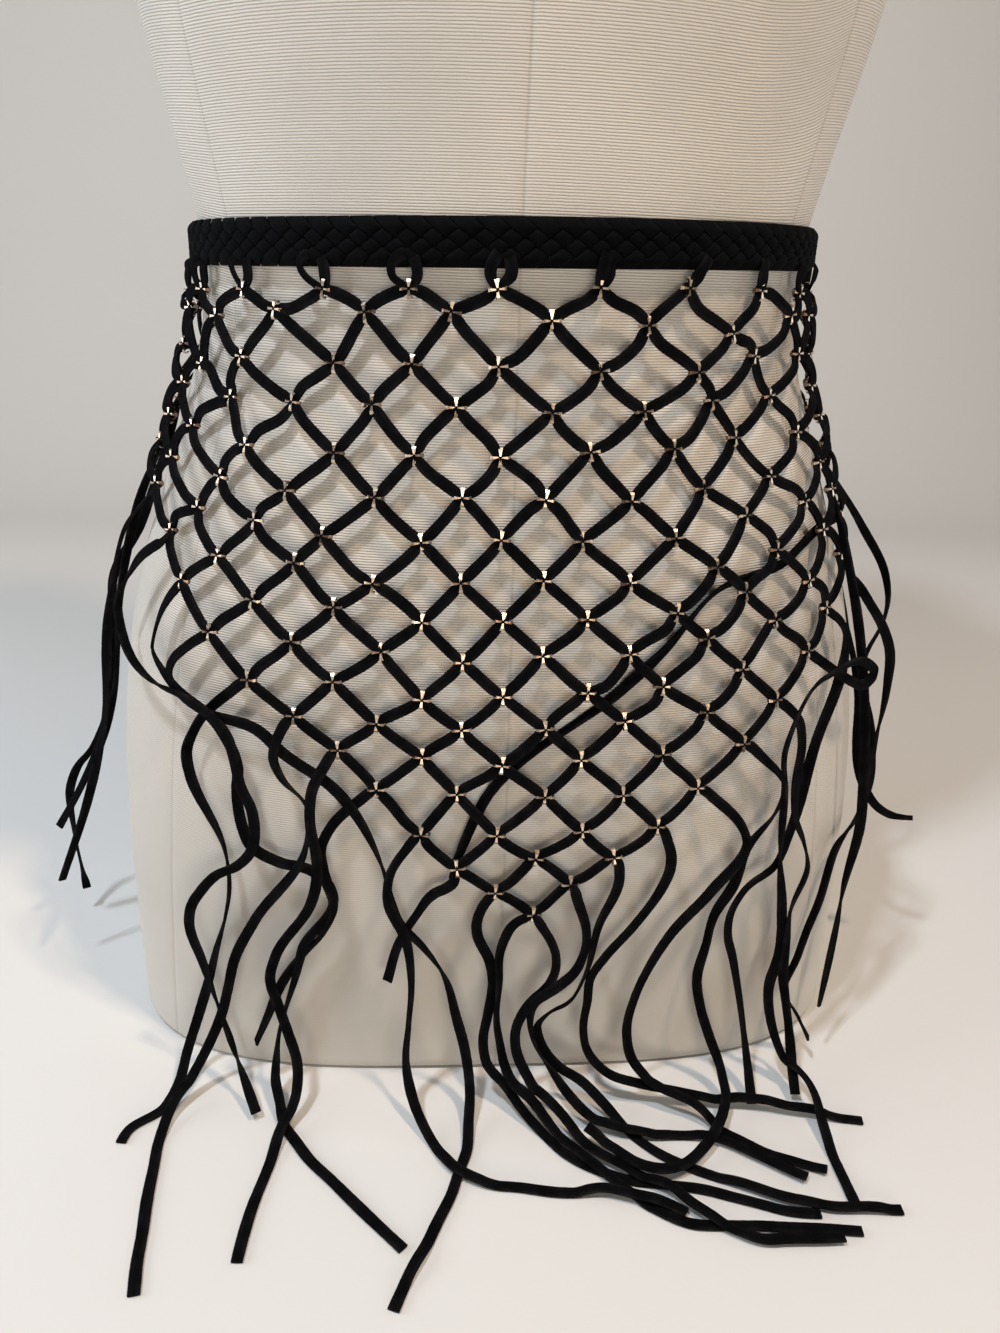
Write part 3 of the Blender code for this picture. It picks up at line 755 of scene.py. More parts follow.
# Each line is one loose lace end: the row at which it leaves the net's edge, its pile, its roll and
# its bends. A higher pile lies on a lower one. Roll is how far in degrees the lace is turned about
# its own length. A bend is its height in mm, its turn in degrees and its distance out from the form
# in mm, which is left out where it is that of the bend before. A line that is set in goes on with
# the strand above it
LEFT_STRANDS = """
0 0 0 270/-146/7.5 210/-149 150/-147 95/-150
1 0 0 270/-131/9 210/-133 150/-130 80/-133/9.5
2 0 0 250/-118/7.5 200/-121 140/-117 70/-120
3 0 0 230/-104/9.5 190/-107/10 130/-102/11 62/-106/13.5
4 0 75 236/-93/8.5 213/-92.8/10 188/-92.6/18.5 155/-92.4/15.5 107/-92.2/24 96/-91.8/29.5 87/-91.6/37
  76/-91.4/42 50/-91.2/44 15/-91/42.5
5 0 60 227/-86/9.5 189/-86 132/-86/11 119/-86/14.5 84/-86/30.5 62/-86/44
6 0 70 219/-80/11 186/-79.8 128/-79.6 91/-79.2/20 47/-79/37.5
7 1 15 227/-61.6/8 221/-63.2/12 212/-65.4/12.5 200/-67.2 189/-63.8 182/-60.4 176/-55 174/-49.6 170/-45.8
  163/-42.8 153/-41.4 143/-40.4 134/-38.8 126/-38.4 117/-38.8 109/-40.8 103/-43.8 93/-46.4 85/-47.8 77/-48.2
  60/-46.4/13 43/-44.6/14 26/-42.2/17 13/-39/24 4/-35/35
8 0 0 205/-57.4/8 193/-58/9 187/-58 181/-55.8 176/-53.2 164/-45.2 157/-43.2 149/-42 139/-42 125/-41.2
  117/-40 111/-35.8 109/-31.4 104/-29 99/-28.2 72/-32.8/9.5 57/-34.2 42/-35.6/10.5 28/-36.4/13 19/-36/17
  11/-35.2/22 6/-33.2/29 1/-31.2/36.5 1/-28/45 1/-25/53 1/-20.8/62.5 1/-17/72 1/-13.6/81 1/-10.6/89.5
9 0 30 192/-51.4/9 185/-53/11 181/-53.2 175/-51.4 170/-47.4 165/-38.4/10.5 159/-35.4/11 145/-27.4/10.5
  110/-19.8/11 99/-18.8 87/-17.2 78/-14.2 62/-10.2 42/-8/12.5 24/-6/16.5 10/-5/25 4/-5/33.5 1/-5/45.5
  1/-5.8/55.5 1/-6.4/65.5 1/-7.6/78 1/-8.6/90.5 1/-9.6/101.5 1/-10.2/112.5
10 0 0 162/-49/7.5 148/-50.4 142/-49.8 112/-44.2 101/-43.6 94/-43.6 80/-44.4 64/-45.8/8 47/-47.2/8.5
  29/-48.4/11 15/-48.2/18 5/-46.6/29 1/-45.6/40 1/-45.6/55.5 1/-44.4/64
11 2 0 162/-35.6/13 157/-35.4/14.5 150/-34.4/14 139/-30.6/14.5 132/-30.4 122/-30.8/14 87/-38/14.5 65/-41.4
  51/-42.4/15 38/-43.2/16.5 26/-44.2/19 16/-44.8/23.5 8/-44.8/31 2/-44.2/40.5 1/-42.2/54 1/-39.2/69.5
  1/-36.6/84 1/-34.2/97.5 1/-32.4/109 1/-30.6/120
12 3 0 146/-29.6/16 135/-29.8 116/-28.8 107/-29 100/-29.6 71/-35.2 61/-36/16.5 47/-35/17 34/-33.6/18.5
  22/-31.8/22.5 11/-30.8/29.5 2/-30.4/42 1/-28.6/60.5 1/-27.2/77.5 1/-26/90.5 1/-24.8/103
13 0 0 127/-28.8/7.5 117/-30.2 108/-29.8 91/-28.4 78/-30.4 66/-33.8 51/-36.8/8 35/-38.6/10 21/-39.8/14
14 2 0 112/-18.6/14 102/-19 82/-16.2 60/-15.4/14.5 40/-15.8/16 22/-15.8/20.5 9/-13.6/29.5 2/-10.4/40.5
  1/-6.2/55 1/-2.6/61 1/2/63.5 1/6.4/66.5 1/9.2/67.5 1/11.8/68.5 1/15/73 1/18/78 1/19.6/84
15 0 0 105/-9/7 100/-12.6/9 91/-15 78/-17.8/9.5 58/-20
16 0 0 94/-3.6/6.5 86/-4.8/7.5 78/-4.4 69/-2.6 58/-1.6/8 41/-2.2/9 26/-3/12 18/-2.2/15.5 11/1/21 5/3.6/28.5
  1/6.4/38 1/8.8/49 1/12/57.5 1/15.2/63.5 1/19.2/68 1/23/73 1/25/78 1/27/83.5 1/28.8/89 1/31.8/94.5
17 1 0 85/1.8/7.5 76/-0.2/9.5 56/-0.4 36/-0.6/11.5 28/0/13 18/1/17 11/2.8/23 4/6/31.5 1/9/43 1/12/56.5
  1/14.4/69.5 1/16.6/78.5 1/19/86 1/22.2/89.5 1/25.2/92.5 1/28/96.5 1/30.6/100.5 1/33/105.5
"""
RIGHT_STRANDS = """
0 0 0 270/150/7.5 210/153 150/150 90/153
1 0 0 270/136/9 210/139 150/135 74/138/9.5
2 0 0 250/123/7.5 200/126 140/122 84/126
3 0 0 240/110/9.5 190/113/10 130/108/11.5 66/111/13.5
4 0 -60 217/94/28 190/93.2/37 180/92.2/36 172/91.4/33 151/90.6/22 106/89.8/29 84/88.8/30.5 73/88/28
5 0 -35 141/85/12 87/83.8/21 81/82.4/25.5 79/81.2/30.5 80/80/43.5
6 0 -70 224/62.8/11.5 203/61.4/12.5 126/61 108/61 80/57 62/56/13 43/54.6/14 27/52.4/17
7 0 0 234/61.4/2.5 230/55.6 226/51.4 218/36.6 197/26.8 183/19.6 140/-3.6/2 111/-9/2.5
8 0 -45 197/73.4/11 189/72.8/15 177/72/18 162/71.2/16.5 128/70/11 112/69.4/10.5 102/69/8 96/56.6/7.5 76/54.2
  63/52.2 51/50.4/8.5 38/48.4/9.5 24/50/13 13/50.4/19
9 0 0 202/58.4/7.5 196/59.2/9.5 189/57.6/11 180/55.8 156/50 120/45.8 105/43.6 97/39.2 86/37.2 75/37.2
  64/38.4 52/39.4/11.5 36/40.4/13 21/40.4/17.5 10/39.2/25.5 2/37.2/36
10 1 -30 178/56.2/14 174/59.2/15 177/61.8/16.5 183/59.4/17.5 188/53.8/19 186/50.8/18 184/47/19 169/41/22.5
  161/39.6/23.5 148/39.4/24.5 109/43/14.5 88/44 61/44.6 47/43.6/15 31/43.8/17.5 16/44.2/23.5 6/44/33
  1/42.4/46.5 1/39.6/63 1/37.2/78.5 1/35/94
11 0 0 172/45.6/9.5 168/45.6/14 161/45.2/16 142/44.2 129/44.4 116/46.2 104/47.2 85/45 70/45 54/45/16.5
  37/45.8/18 22/45.8/22 11/44.2/30 3/42/40.5
12 6 0 152/42/8 142/44.8/9 138/45.2 130/44.2 114/39.4 98/37.8 86/35.2/9.5 70/34.4 54/33.8 39/34.6/11
  24/35.8/14.5 12/36/22 5/34.6/31 5/31/43.5 5/26.2/55.5 5/22/63 5/19.4/64.5 5/17/60 5/14.6/50 5/11.8/40.5
13 2 0 126/37.4/12.5 120/38.2 99/33.2 81/27.8 65/24.8/13 50/23/13.5 32/22/15.5 22/22.4/19 14/24.2/23.5
  6/27.2/31.5 3/29.2/37 1/30.4/45 1/31.6/53.5 1/32.6/61.5 1/34.6/70 1/36.2/79
14 0 0 123/27/7 116/27.6/8.5 108/27.4/9 102/26.6 84/22.4/9.5 69/18.2 58/16 46/15.8/10 33/15.2/12 23/15.8/15
  15/18.4/19.5 10/23.8/23.5 7/28.8/27 4/33.2/31.5 1/37/37 1/40/44 1/42.8/52 1/45.2/60.5
15 2 0 107/19.6/8 86/16.2/11 60/14.6 48/12.2/12 43/8.8/12.5 37/6.8/13 28/7.4/15 19/10.2/18.5 13/14/22
  6/17/30.5 1/19/41.5 1/21/53.5 1/23.6/63 1/25.8/70 1/27.8/77 1/29.6/84 1/31.2/88.5 1/32.6/93 1/35.2/97.5
  1/37.8/103
16 5 0 98/12.4/10.5 89/13.2/16 76/13.2 67/12 59/8.8/16.5 52/5.6 41/5/17.5 30/6.2/19.5 21/8.6/22.5
  13/10.8/27.5 6/13.8/35 3/17/40.5 1/21.4/44 1/26.2/46 1/29.2/52 1/31/61.5 1/32.4/71 1/33.6/80.5
17 2 0 77/8.6/14.5 68/9 59/8 49/4.6/15 37/2.6/16.5 28/2.8/18.5 17/4.8/23 7/7.8/31.5 2/10.2/39.5 1/12.4/50
  1/14.8/57.5 1/17/64.5 1/19/71.5 1/20.6/82.5 1/22.4/92 1/24.2/98.5 1/26.6/101 1/29/104 1/31.4/107
"""
FLOOR_LIFT = 0.0008
FACE_UP_BELOW = 0.022
FACE_UP_FROM = 0.003
STRAND_SPACING = 0.0022
# Twist of a strand about its own length: angle, distance at its root over which it fades in, and
# the lengths of its two waves
TWIST = 0.9
TWIST_ROOT = 0.03
TWIST_WAVE = 0.034
SHORT_TWIST_WAVE = 0.019
LACE_CUP = 0.00012
# Uneven width of a hand-cut lace: share of a slow wave, its step, and share of the speckle on it
ROUGH_WAVE = 0.03
ROUGH_STEP = 0.21
ROUGH_SPECKLE = 0.02
# Samples beyond a leg's last knot that its pinch still narrows
PINCH_TAIL = 12


def strand_lace(side, row):
    """Lace whose loose end the strand of this row is, and also the row of this lace's strand."""
    return row if side < 0 else LAST_ROW - row


def read_strands(table):
    """Strands of one side, lowest row first."""
    strands = []
    for line in table.strip().replace("\n  ", " ").split("\n"):
        row, pile, roll, *words = line.split()
        bends = []
        for word in words:
            high, turn, *out = (float(number) for number in word.split("/"))
            out = out[0] * MM if out else bends[-1][2]
            bends.append((math.radians(turn), max(high * MM, FLOOR_LIFT), out))
        strands.append(Strand(int(row), int(pile), math.radians(int(roll)), bends))
    return strands


def strand_controls(strand, side):
    """Turn, height and distance out of a fringe strand's root and of each of its bends."""
    loop = strand_lace(side, strand.row) + side * strand.row / 2
    across, height, out = knot(loop, strand.row)
    return [(turn_at(across, height), height, out), *strand.bends]


# Pile on the floor: cell of its height map, how many cells away a lace still rests on another, half
# a lace's width in cells, height up to which a strand is checked against the pile, height up to
# which it counts as part of the pile, steps over which it is bridged, and how fast a bridge falls
PILE_CELL = 0.001
PILE_REACH = 3
PILE_HALF_WIDTH = 2
PILE_CHECKED = 0.03
PILE_HIGH = 0.012
BRIDGE_STEPS = 12
BRIDGE = 22.0


def pile_cells(point, away):
    """Cells of the pile's height map around a point."""
    x, y = round(point.x / PILE_CELL), round(point.y / PILE_CELL)
    steps = range(-away, away + 1)
    return [(x + across, y + along) for across in steps for along in steps]


def settle(path, tops):
    """Lifts the low part of a strand over what already lies on the floor, then adds it to the pile."""
    needs = []
    for point, _, _ in path:
        highest = 0.0
        if point.z <= PILE_CHECKED:
            highest = max(tops.get(cell, 0.0) for cell in pile_cells(point, PILE_REACH))
        needs.append(highest + FLOOR_LIFT if highest else 0.0)
    settled = []
    for at, (point, _, _) in enumerate(path):
        lift = 0.0
        for other in range(max(at - BRIDGE_STEPS, 0), min(at + BRIDGE_STEPS + 1, len(path))):
            gap = (path[other][0] - point).length
            lift = max(lift, needs[other] - BRIDGE * gap * gap)
        settled.append(max(point.z, lift, FLOOR_LIFT))
    for (point, _, _), high in zip(path, settled):
        if high < PILE_HIGH:
            for cell in pile_cells(point, PILE_HALF_WIDTH):
                tops[cell] = max(tops.get(cell, 0.0), high + LACE_THICK / 2)
        point.z = high


def curve(points, spacing):
    """Even samples on a smooth curve through points that may be unevenly spaced."""
    gaps = [(after - before).length for before, after in zip(points, points[1:])]
    slopes = [(after - before) / gap for before, after, gap in zip(points, points[1:], gaps)]
    tangents = [slopes[0]]
    for at in range(1, len(gaps)):
        tangents.append((slopes[at - 1] * gaps[at] + slopes[at] * gaps[at - 1]) / (gaps[at - 1] + gaps[at]))
    tangents.append(slopes[-1])
    samples = []
    for at, gap in enumerate(gaps):
        count = max(round(gap / spacing), 1)
        for step in range(count):
            t = step / count
            samples.append(points[at] * (1 + 2 * t) * (1 - t) ** 2 + points[at + 1] * t * t * (3 - 2 * t)
                           + (tangents[at] * t * (1 - t) ** 2 - tangents[at + 1] * t * t * (1 - t)) * gap)
    samples.append(points[-1].copy())
    return samples


def strand_path(strand, side, tops):
    """Points and normals of a fringe strand beyond its root, at even steps."""
    path = []
    for point in curve([polar(*control) for control in strand_controls(strand, side)], STRAND_SPACING):
        point.z = max(point.z, FLOOR_LIFT)
        path.append((point, math.atan2(point.x, -point.y), point.z))
    steps = len(path) - 1
    settle(path, tops)
    seed = strand.row * 1.7 + (3.1 if side > 0 else 0.0)
    result = []
    for step, (point, turn, height) in enumerate(path):
        upright = min(max(point.z - FACE_UP_FROM, 0.0) / FACE_UP_BELOW, 1.0)
        normal = facing(turn, height) * upright + Vector((0, 0, 1 - upright))
        along = step * STRAND_SPACING
        ahead = (path[min(step + 1, steps)][0] - path[max(step - 1, 0)][0]).normalized()
        fade = min(along / TWIST_ROOT, 1.0) * upright
        waves = math.sin(along / TWIST_WAVE + seed) + 0.5 * math.sin(along / SHORT_TWIST_WAVE + 2 * seed)
        angle = (TWIST * waves + strand.roll) * fade
        normal = Matrix.Rotation(angle, 3, ahead) @ normal.normalized()
        result.append((point, normal))
    return result


def all_strands():
    """Every strand with its side, lowest in the pile first."""
    strands = [(strand, -1) for strand in read_strands(LEFT_STRANDS)]
    strands += [(strand, 1) for strand in read_strands(RIGHT_STRANDS)]
    return sorted(strands, key=lambda pair: (pair[0].pile, pair[0].row))


def joined_paths():
    """Path of every lace end from its last knot, and that of every leg up to there."""
    tops = {}
    hanging = {}
    for strand, side in all_strands():
        hanging[side, strand.row] = strand_path(strand, side, tops)
    legs = {}
    for lace in range(LACES):
        for side in (-1, 1):
            last_row = strand_lace(side, lace)
            controls = leg_controls(lace, side, last_row)
            end = hanging[side, last_row]
            tail = [(point, normal, False) for point, normal in end[1::2]]
            legs[lace, side] = (controls, tail, last_row)
    return legs


def leg_samples(controls, tail):
    """Samples of a leg with its hanging end, and the index of the sample at the leg's last knot."""
    points, normals, marks = smooth_path(controls + tail)
    last_mark = len(controls) - 1
    cut = min(range(len(marks)), key=lambda at: abs(marks[at] - last_mark))
    knots = [control[0] for control in controls if control[2]]
    pinched = cut + PINCH_TAIL
    widths = pinch(points[:pinched], knots, LACE_WIDTH) + [LACE_WIDTH] * (len(points) - pinched)
    return points, normals, widths, cut


def roughen(widths, seed):
    """Small uneven changes of width, as hand-cut suede has."""
    randomly = random.Random(seed)
    phase = randomly.uniform(0, 6)
    return [width * (1 + ROUGH_WAVE * math.sin(at * ROUGH_STEP + phase)
                     + ROUGH_SPECKLE * randomly.uniform(-1, 1))
            for at, width in enumerate(widths)]


# Rows of each stretch of the net's edge that is one piece with its fringe: first, and past the last
FRINGE_GROUPS = ((0, 4), (4, 8), (8, 11), (11, 14), (14, 18))


def fringe_group(row):
    """Number of the stretch of net edge that this row's strand leaves."""
    return next(number for number, (first, past) in enumerate(FRINGE_GROUPS) if first <= row < past)


def add_leg(builder, fringes, lace, side, leg):
    """One leg of a lace, its loose end with the fringe, or all with the fringe at the net's edge."""
    controls, tail, last_row = leg
    points, normals, widths, cut = leg_samples(controls, tail)
    loops = lace_loops(points, normals, roughen(widths, lace * 2 + side), LACE_THICK, LACE_CUP)
    if (lace, side) in ((0, 1), (LAST_ROW, -1)):
        add_edge_leg(fringes, side, loops, controls, points)
    elif cut > 0:
        builder.add_tube(loops[:cut + 1], SECTION_EDGES)
    fringes[side, fringe_group(last_row)].add_tube(loops[cut:], SECTION_EDGES)


def add_eye(builder, lace, side, root):
    """Half of a lace's eye, up from its knot."""
    eye = [(root[0], root[1], KNOT_WIDTH)] + eye_controls(lace, side)
    points, normals, marks = smooth_path(eye)
    widths = []
    for mark in marks:
        low = min(math.floor(mark), len(eye) - 1)
        high = min(low + 1, len(eye) - 1)
        widths.append(eye[low][2] + (eye[high][2] - eye[low][2]) * (mark - low))
    builder.add_tube(lace_loops(points, normals, widths, LACE_THICK), SECTION_EDGES)


def add_net_and_fringe(material):
    """One piece for each lace of the net, and one for each stretch of edge with its fringe."""
    legs = joined_paths()
    pieces = []
    fringes = {(side, number): Builder() for side in (-1, 1) for number in range(len(FRINGE_GROUPS))}
    for lace in range(LACES):
        builder = Builder()
        for side in (-1, 1):
            add_leg(builder, fringes, lace, side, legs[lace, side])
        for side in (-1, 1):
            add_eye(builder, lace, side, legs[lace, -side][0][0])
        pieces.append((builder.finish(f"net_lace_{lace:02d}", material), f"lace_{lace:02d}"))
    for (side, number), builder in fringes.items():
        word = "left" if side < 0 else "right"
        piece = builder.finish(f"fringe_strands_{word}_{number + 1}", material)
        pieces.append((piece, f"fringe_{word}_{number + 1}"))
    return pieces


def add_edge_leg(fringes, side, loops, controls, points):
    """Cuts the net's edge lace at its rows into the stretches that carry the fringe."""
    knots = [control[0] for control in controls if control[2]]
    starts = [knots[min(first, len(knots) - 1)] for first, _ in FRINGE_GROUPS]
    cuts = [min(range(len(points)), key=lambda at: (points[at] - spot).length)
            for spot in (*starts, knots[-1])]
    for number, (start, end) in enumerate(zip(cuts, cuts[1:])):
        fringes[-side, number].add_tube(loops[start:end + 1], SECTION_EDGES)


# Clasps

CLASP_SIDES = 10
CLASP_SEED = 11
CLASP_LEAN = 0.14
CLASP_TIP = 0.1
# Cup: radius and distance out from the knot, in mm
CUP = ((2.0, -1.1), (2.1, -1.4), (1.6, -2.1), (0.8, -2.5))
# Prong: distance from the knot, distance out and width, in mm
PRONG = ((2.6, -1.4, 1.6), (3.4, -0.5, 1.7), (3.3, 0.6, 1.7), (2.5, 1.15, 1.25), (0.5, 1.0, 0.55))
PRONG_THICK = 0.00035
# Beyond this distance in mm a prong's thickness lies along its way and not along the knot's normal
PRONG_TURNS = 3
# Top, right, bottom and left prong: share of the full width, and how bright its metal is painted, a painted
# glint in place of the reflections it catches
PRONG_WIDE = (1.0, 0.72, 0.95, 0.75)
PRONG_PAINTED_GLINT = (1.0, 0.45, 0.75, 0.30)
# Random spread of each prong's painted glint
PAINTED_GLINT_VARIES = (-0.35, 0.25)
LENGTH_VARIES = (0.9, 1.08)
# How bright a cup's metal is painted: dark, a painted shade for the metal behind the laces
CUP_PAINTED_SHADE = 0.1


def add_clasps(material):
    """Metal cup behind each knot, with four prongs folded over its front between the laces."""
    vertices, faces, painted_light = [], [], []
    randomly = random.Random(CLASP_SEED)
    for row in range(LACES):
        for count in range(LACES - row):
            across, height, out = knot(count + row / 2, row)
            point, normal = net_point(across, height, out)
            aside = Vector((0, 0, 1)).cross(normal).normalized()
            up = normal.cross(aside).normalized()
            spin = Matrix.Rotation(randomly.uniform(-CLASP_LEAN, CLASP_LEAN), 3, normal)
            tip = Matrix.Rotation(randomly.uniform(-CLASP_TIP, CLASP_TIP), 3, aside)
            aside, up, normal = tip @ (spin @ aside), tip @ (spin @ up), tip @ normal
            add_cup(vertices, faces, point, aside, up, normal)
            # Painted shade on the cup's metal
            painted_light.extend([CUP_PAINTED_SHADE] * (len(vertices) - len(painted_light)))
            for way, wide, bright in zip((up, aside, -up, -aside), PRONG_WIDE, PRONG_PAINTED_GLINT):
                beside = normal.cross(way) * wide
                add_prong(vertices, faces, point, way, beside, normal, randomly)
                # Painted glint on the prong's metal, with a random spread
                bright = min(max(bright + randomly.uniform(*PAINTED_GLINT_VARIES), 0.0), 1.0)
                painted_light.extend([bright] * (len(vertices) - len(painted_light)))
    piece = new_piece("knot_clasps", vertices, faces, material, smooth=False)
    add_attribute(piece, "painted_light", painted_light)
    return piece


def add_cup(vertices, faces, point, aside, up, normal):
    """Round metal cup behind a knot."""
    first = len(vertices)
    for radius, out in CUP:
        for step in range(CLASP_SIDES):
            angle = math.tau * step / CLASP_SIDES
            around = aside * math.cos(angle) + up * math.sin(angle)
            vertices.append(point + around * (radius * MM) + normal * (out * MM))
    faces.extend(face[::-1] for face in ring_faces(first, CLASP_SIDES, len(CUP)))


def add_prong(vertices, faces, point, way, beside, normal, randomly):
    """Prong that comes out of the cup between two laces and folds over the knot."""
    first = len(vertices)
    long = randomly.uniform(*LENGTH_VARIES)
    for radius, out, width in PRONG:
        centre = point + way * (radius * MM * long) + normal * (out * MM)
        half = beside * (width * MM / 2)
        deep = (normal if radius < PRONG_TURNS else way) * (PRONG_THICK / 2)
        vertices.extend((centre + half + deep, centre - half + deep))
        vertices.extend((centre - half - deep, centre + half - deep))
    faces.extend(ring_faces(first, 4, len(PRONG)))


# Materials


def new_material(name, colour, roughness, metallic=0.0):
    """Material with its nodes and main shader."""
    material = bpy.data.materials.new(name)
    material.use_nodes = True
    shader = material.node_tree.nodes["Principled BSDF"]
    shader.inputs["Base Color"].default_value = (*colour, 1.0)
    shader.inputs["Roughness"].default_value = roughness
    shader.inputs["Metallic"].default_value = metallic
    return material, material.node_tree, shader


def node(tree, kind, inputs, **settings):
    """New node whose inputs, by name or number, are numbers, colours or other nodes' outputs."""
    made = tree.nodes.new(kind)
    for key, value in settings.items():
        setattr(made, key, value)
    for key, value in inputs.items():
        if isinstance(value, (int, float)):
            made.inputs[key].default_value = value
        elif isinstance(value, tuple):
            made.inputs[key].default_value = (*value, 1.0)
        else:
            tree.links.new(value, made.inputs[key])
    return made


def place(tree):
    """Place on the object."""
    return node(tree, "ShaderNodeTexCoord", {}).outputs["Object"]


def axis(tree, name):
    """Place along one axis."""
    return node(tree, "ShaderNodeSeparateXYZ", {"Vector": place(tree)}).outputs[name]


def noise(tree, scale, detail=3.0, roughness=0.6):
    """Noise over the object, around 0.5."""
    inputs = {"Vector": place(tree), "Scale": scale, "Detail": detail, "Roughness": roughness}
    return node(tree, "ShaderNodeTexNoise", inputs).outputs["Fac"]


def span(tree, value, low, high, to_low, to_high):
    """Value moved from one range to another."""
    inputs = {"Value": value, "From Min": low, "From Max": high, "To Min": to_low, "To Max": to_high}
    return node(tree, "ShaderNodeMapRange", inputs).outputs["Result"]


def maths(tree, operation, *values):
    """Result of one operation on values."""
    return node(tree, "ShaderNodeMath", dict(enumerate(values)), operation=operation).outputs["Value"]


def attribute(tree, name):
    """Value that the mesh's points carry."""
    return node(tree, "ShaderNodeAttribute", {}, attribute_name=name).outputs["Fac"]


def mix_colours(tree, factor, first, second, blend="MIX"):
    """Second colour laid over the first."""
    inputs = {"Factor": factor, 6: first, 7: second}
    return node(tree, "ShaderNodeMix", inputs, data_type="RGBA", blend_type=blend).outputs[2]


def bump(tree, shader, height, strength, distance):
    """Makes the shader's surface look uneven."""
    made = node(tree, "ShaderNodeBump", {"Strength": strength, "Distance": distance, "Height": height})
    tree.links.new(made.outputs["Normal"], shader.inputs["Normal"])


def cover_material():
    """Off-white cotton with fine ribs across, pressed seams and a few faint stains, with painted shade in the
    rib valleys and a foot painted paler for the light that falls there.
    """
    material, tree, shader = new_material("ribbed_cover", (0.70, 0.66, 0.60), 0.88)
    up = axis(tree, "Z")
    foot = span(tree, up, 0.02, 0.16, 1.0, 0.0)
    slubs = span(tree, noise(tree, 240.0, 2.0), 0.3, 0.7, -0.00006, 0.00006)
    ribs = maths(tree, "ADD", attribute(tree, "rib"), slubs)
    ribs = maths(tree, "SINE", maths(tree, "MULTIPLY", ribs, math.tau / RIB_PITCH))
    ribs = maths(tree, "SUBTRACT", 1.0, maths(tree, "POWER", span(tree, ribs, -1.0, 1.0, 1.0, 0.0), 2.2))
    fade = span(tree, noise(tree, 9.0), 0.35, 0.65, 0.55, 1.0)
    fade = maths(tree, "MULTIPLY", fade, span(tree, up, 0.07, 0.16, 0.08, 1.0))
    ribs = maths(tree, "MULTIPLY", ribs, fade)
    threads = maths(tree, "MULTIPLY", noise(tree, 1800.0, 2.0), 0.3)
    dents = maths(tree, "MULTIPLY", noise(tree, 22.0, 1.5), maths(tree, "MULTIPLY", foot, 7.0))
    height = maths(tree, "ADD", maths(tree, "MULTIPLY", ribs, 0.8), threads)
    bump(tree, shader, maths(tree, "ADD", height, dents), 1.0, 0.00028)
    tone = mix_colours(tree, noise(tree, 5.0), (0.705, 0.65, 0.58), (0.665, 0.62, 0.56))
    # Painted light: the colour turns paler towards the foot, for the extra light that falls on the form's
    # lower part
    tone = mix_colours(tree, foot, tone, (0.87, 0.82, 0.74))
    # Painted shade: the colour is darkened in the valleys between the ribs, and more evenly where the ribs
    # fade
    tone = mix_colours(tree, 1.0, tone, span(tree, ribs, 0.0, 1.0, 0.54, 1.0), "MULTIPLY")
    stain = span(tree, noise(tree, 23.0, 4.0), 0.66, 0.80, 0.0, 0.16)
    tone = mix_colours(tree, stain, tone, (0.42, 0.34, 0.25))
    seam = span(tree, attribute(tree, "seam"), 0.45, 1.0, 0.0, 0.30)
    tone = mix_colours(tree, seam, tone, (0.26, 0.23, 0.20))
    tree.links.new(tone, shader.inputs["Base Color"])
    shader.inputs["Sheen Weight"].default_value = 0.15
    return material


def suede_material(name, colour, worn, wear, gloss):
    """Black suede with a fine nap, paler and browner along its cut edges."""
    material, tree, shader = new_material(name, colour, 0.92)
    nap = noise(tree, 2600.0, 4.0, 0.7)
    blotches = noise(tree, 160.0, 3.0)
    edge = maths(tree, "MULTIPLY", attribute(tree, "edge"), span(tree, blotches, 0.40, 0.68, 0.1, 1.0))
    scuffs = span(tree, noise(tree, 420.0, 5.0, 0.75), 0.60, 0.78, 0.0, 0.5)
    factor = maths(tree, "MULTIPLY", maths(tree, "MAXIMUM", edge, scuffs), wear)
    base = mix_colours(tree, span(tree, blotches, 0.3, 0.7, 0.0, 1.0), colour,
                       tuple(channel * 1.9 for channel in colour))
    tree.links.new(mix_colours(tree, factor, base, worn), shader.inputs["Base Color"])
    bump(tree, shader, nap, 0.45, 0.0003)
    shader.inputs["Specular IOR Level"].default_value = gloss
    shader.inputs["Roughness"].default_value = 0.95 - gloss
    return material


def brass_material():
    """Pale brass with a dull pink cast, with painted reflections: painted bright on some prongs and dark on
    others and on the cups, in place of the glints and shade they catch.
    """
    material, tree, shader = new_material("pale_brass_clasp", (0.80, 0.62, 0.48), 0.32, 1.0)
    spots = span(tree, noise(tree, 500.0), 0.35, 0.65, -0.25, 0.25)
    bright = span(tree, maths(tree, "ADD", attribute(tree, "painted_light"), spots), 0.0, 1.0, 0.0, 1.0)
    # Painted reflection: the metal's colour runs from dark brown to bright with each part's painted glint or
    # shade
    tone = mix_colours(tree, bright, (0.16, 0.095, 0.065), (0.76, 0.62, 0.48))
    tree.links.new(tone, shader.inputs["Base Color"])
    tree.links.new(span(tree, noise(tree, 900.0), 0.3, 0.7, 0.22, 0.5), shader.inputs["Roughness"])
    return material


def wood_material():
    """Pale wood of the form's neck cap."""
    material, tree, shader = new_material("pale_cap_wood", (0.50, 0.38, 0.25), 0.5)
    tone = mix_colours(tree, noise(tree, 60.0), (0.54, 0.42, 0.28), (0.42, 0.30, 0.18))
    tree.links.new(tone, shader.inputs["Base Color"])
    return material


def floor_material():
    """Plain pale floor, a little darker from behind the form on."""
    material, tree, shader = new_material("plain_floor", (0.78, 0.76, 0.73), 0.75)
    tone = mix_colours(tree, noise(tree, 3.0), (0.655, 0.65, 0.635), (0.63, 0.625, 0.612))
    behind = span(tree, axis(tree, "Y"), 0.14, 0.40, 0.0, 1.0)
    tone = mix_colours(tree, behind, tone, (0.64, 0.625, 0.60))
    tree.links.new(tone, shader.inputs["Base Color"])
    return material


# Stage

FLOOR_HALF = 2.6
FLOOR_BACK = 1.25
WALL_HEIGHT = 2.6
WALL_ROUND = 0.35
WALL_STEPS = 10

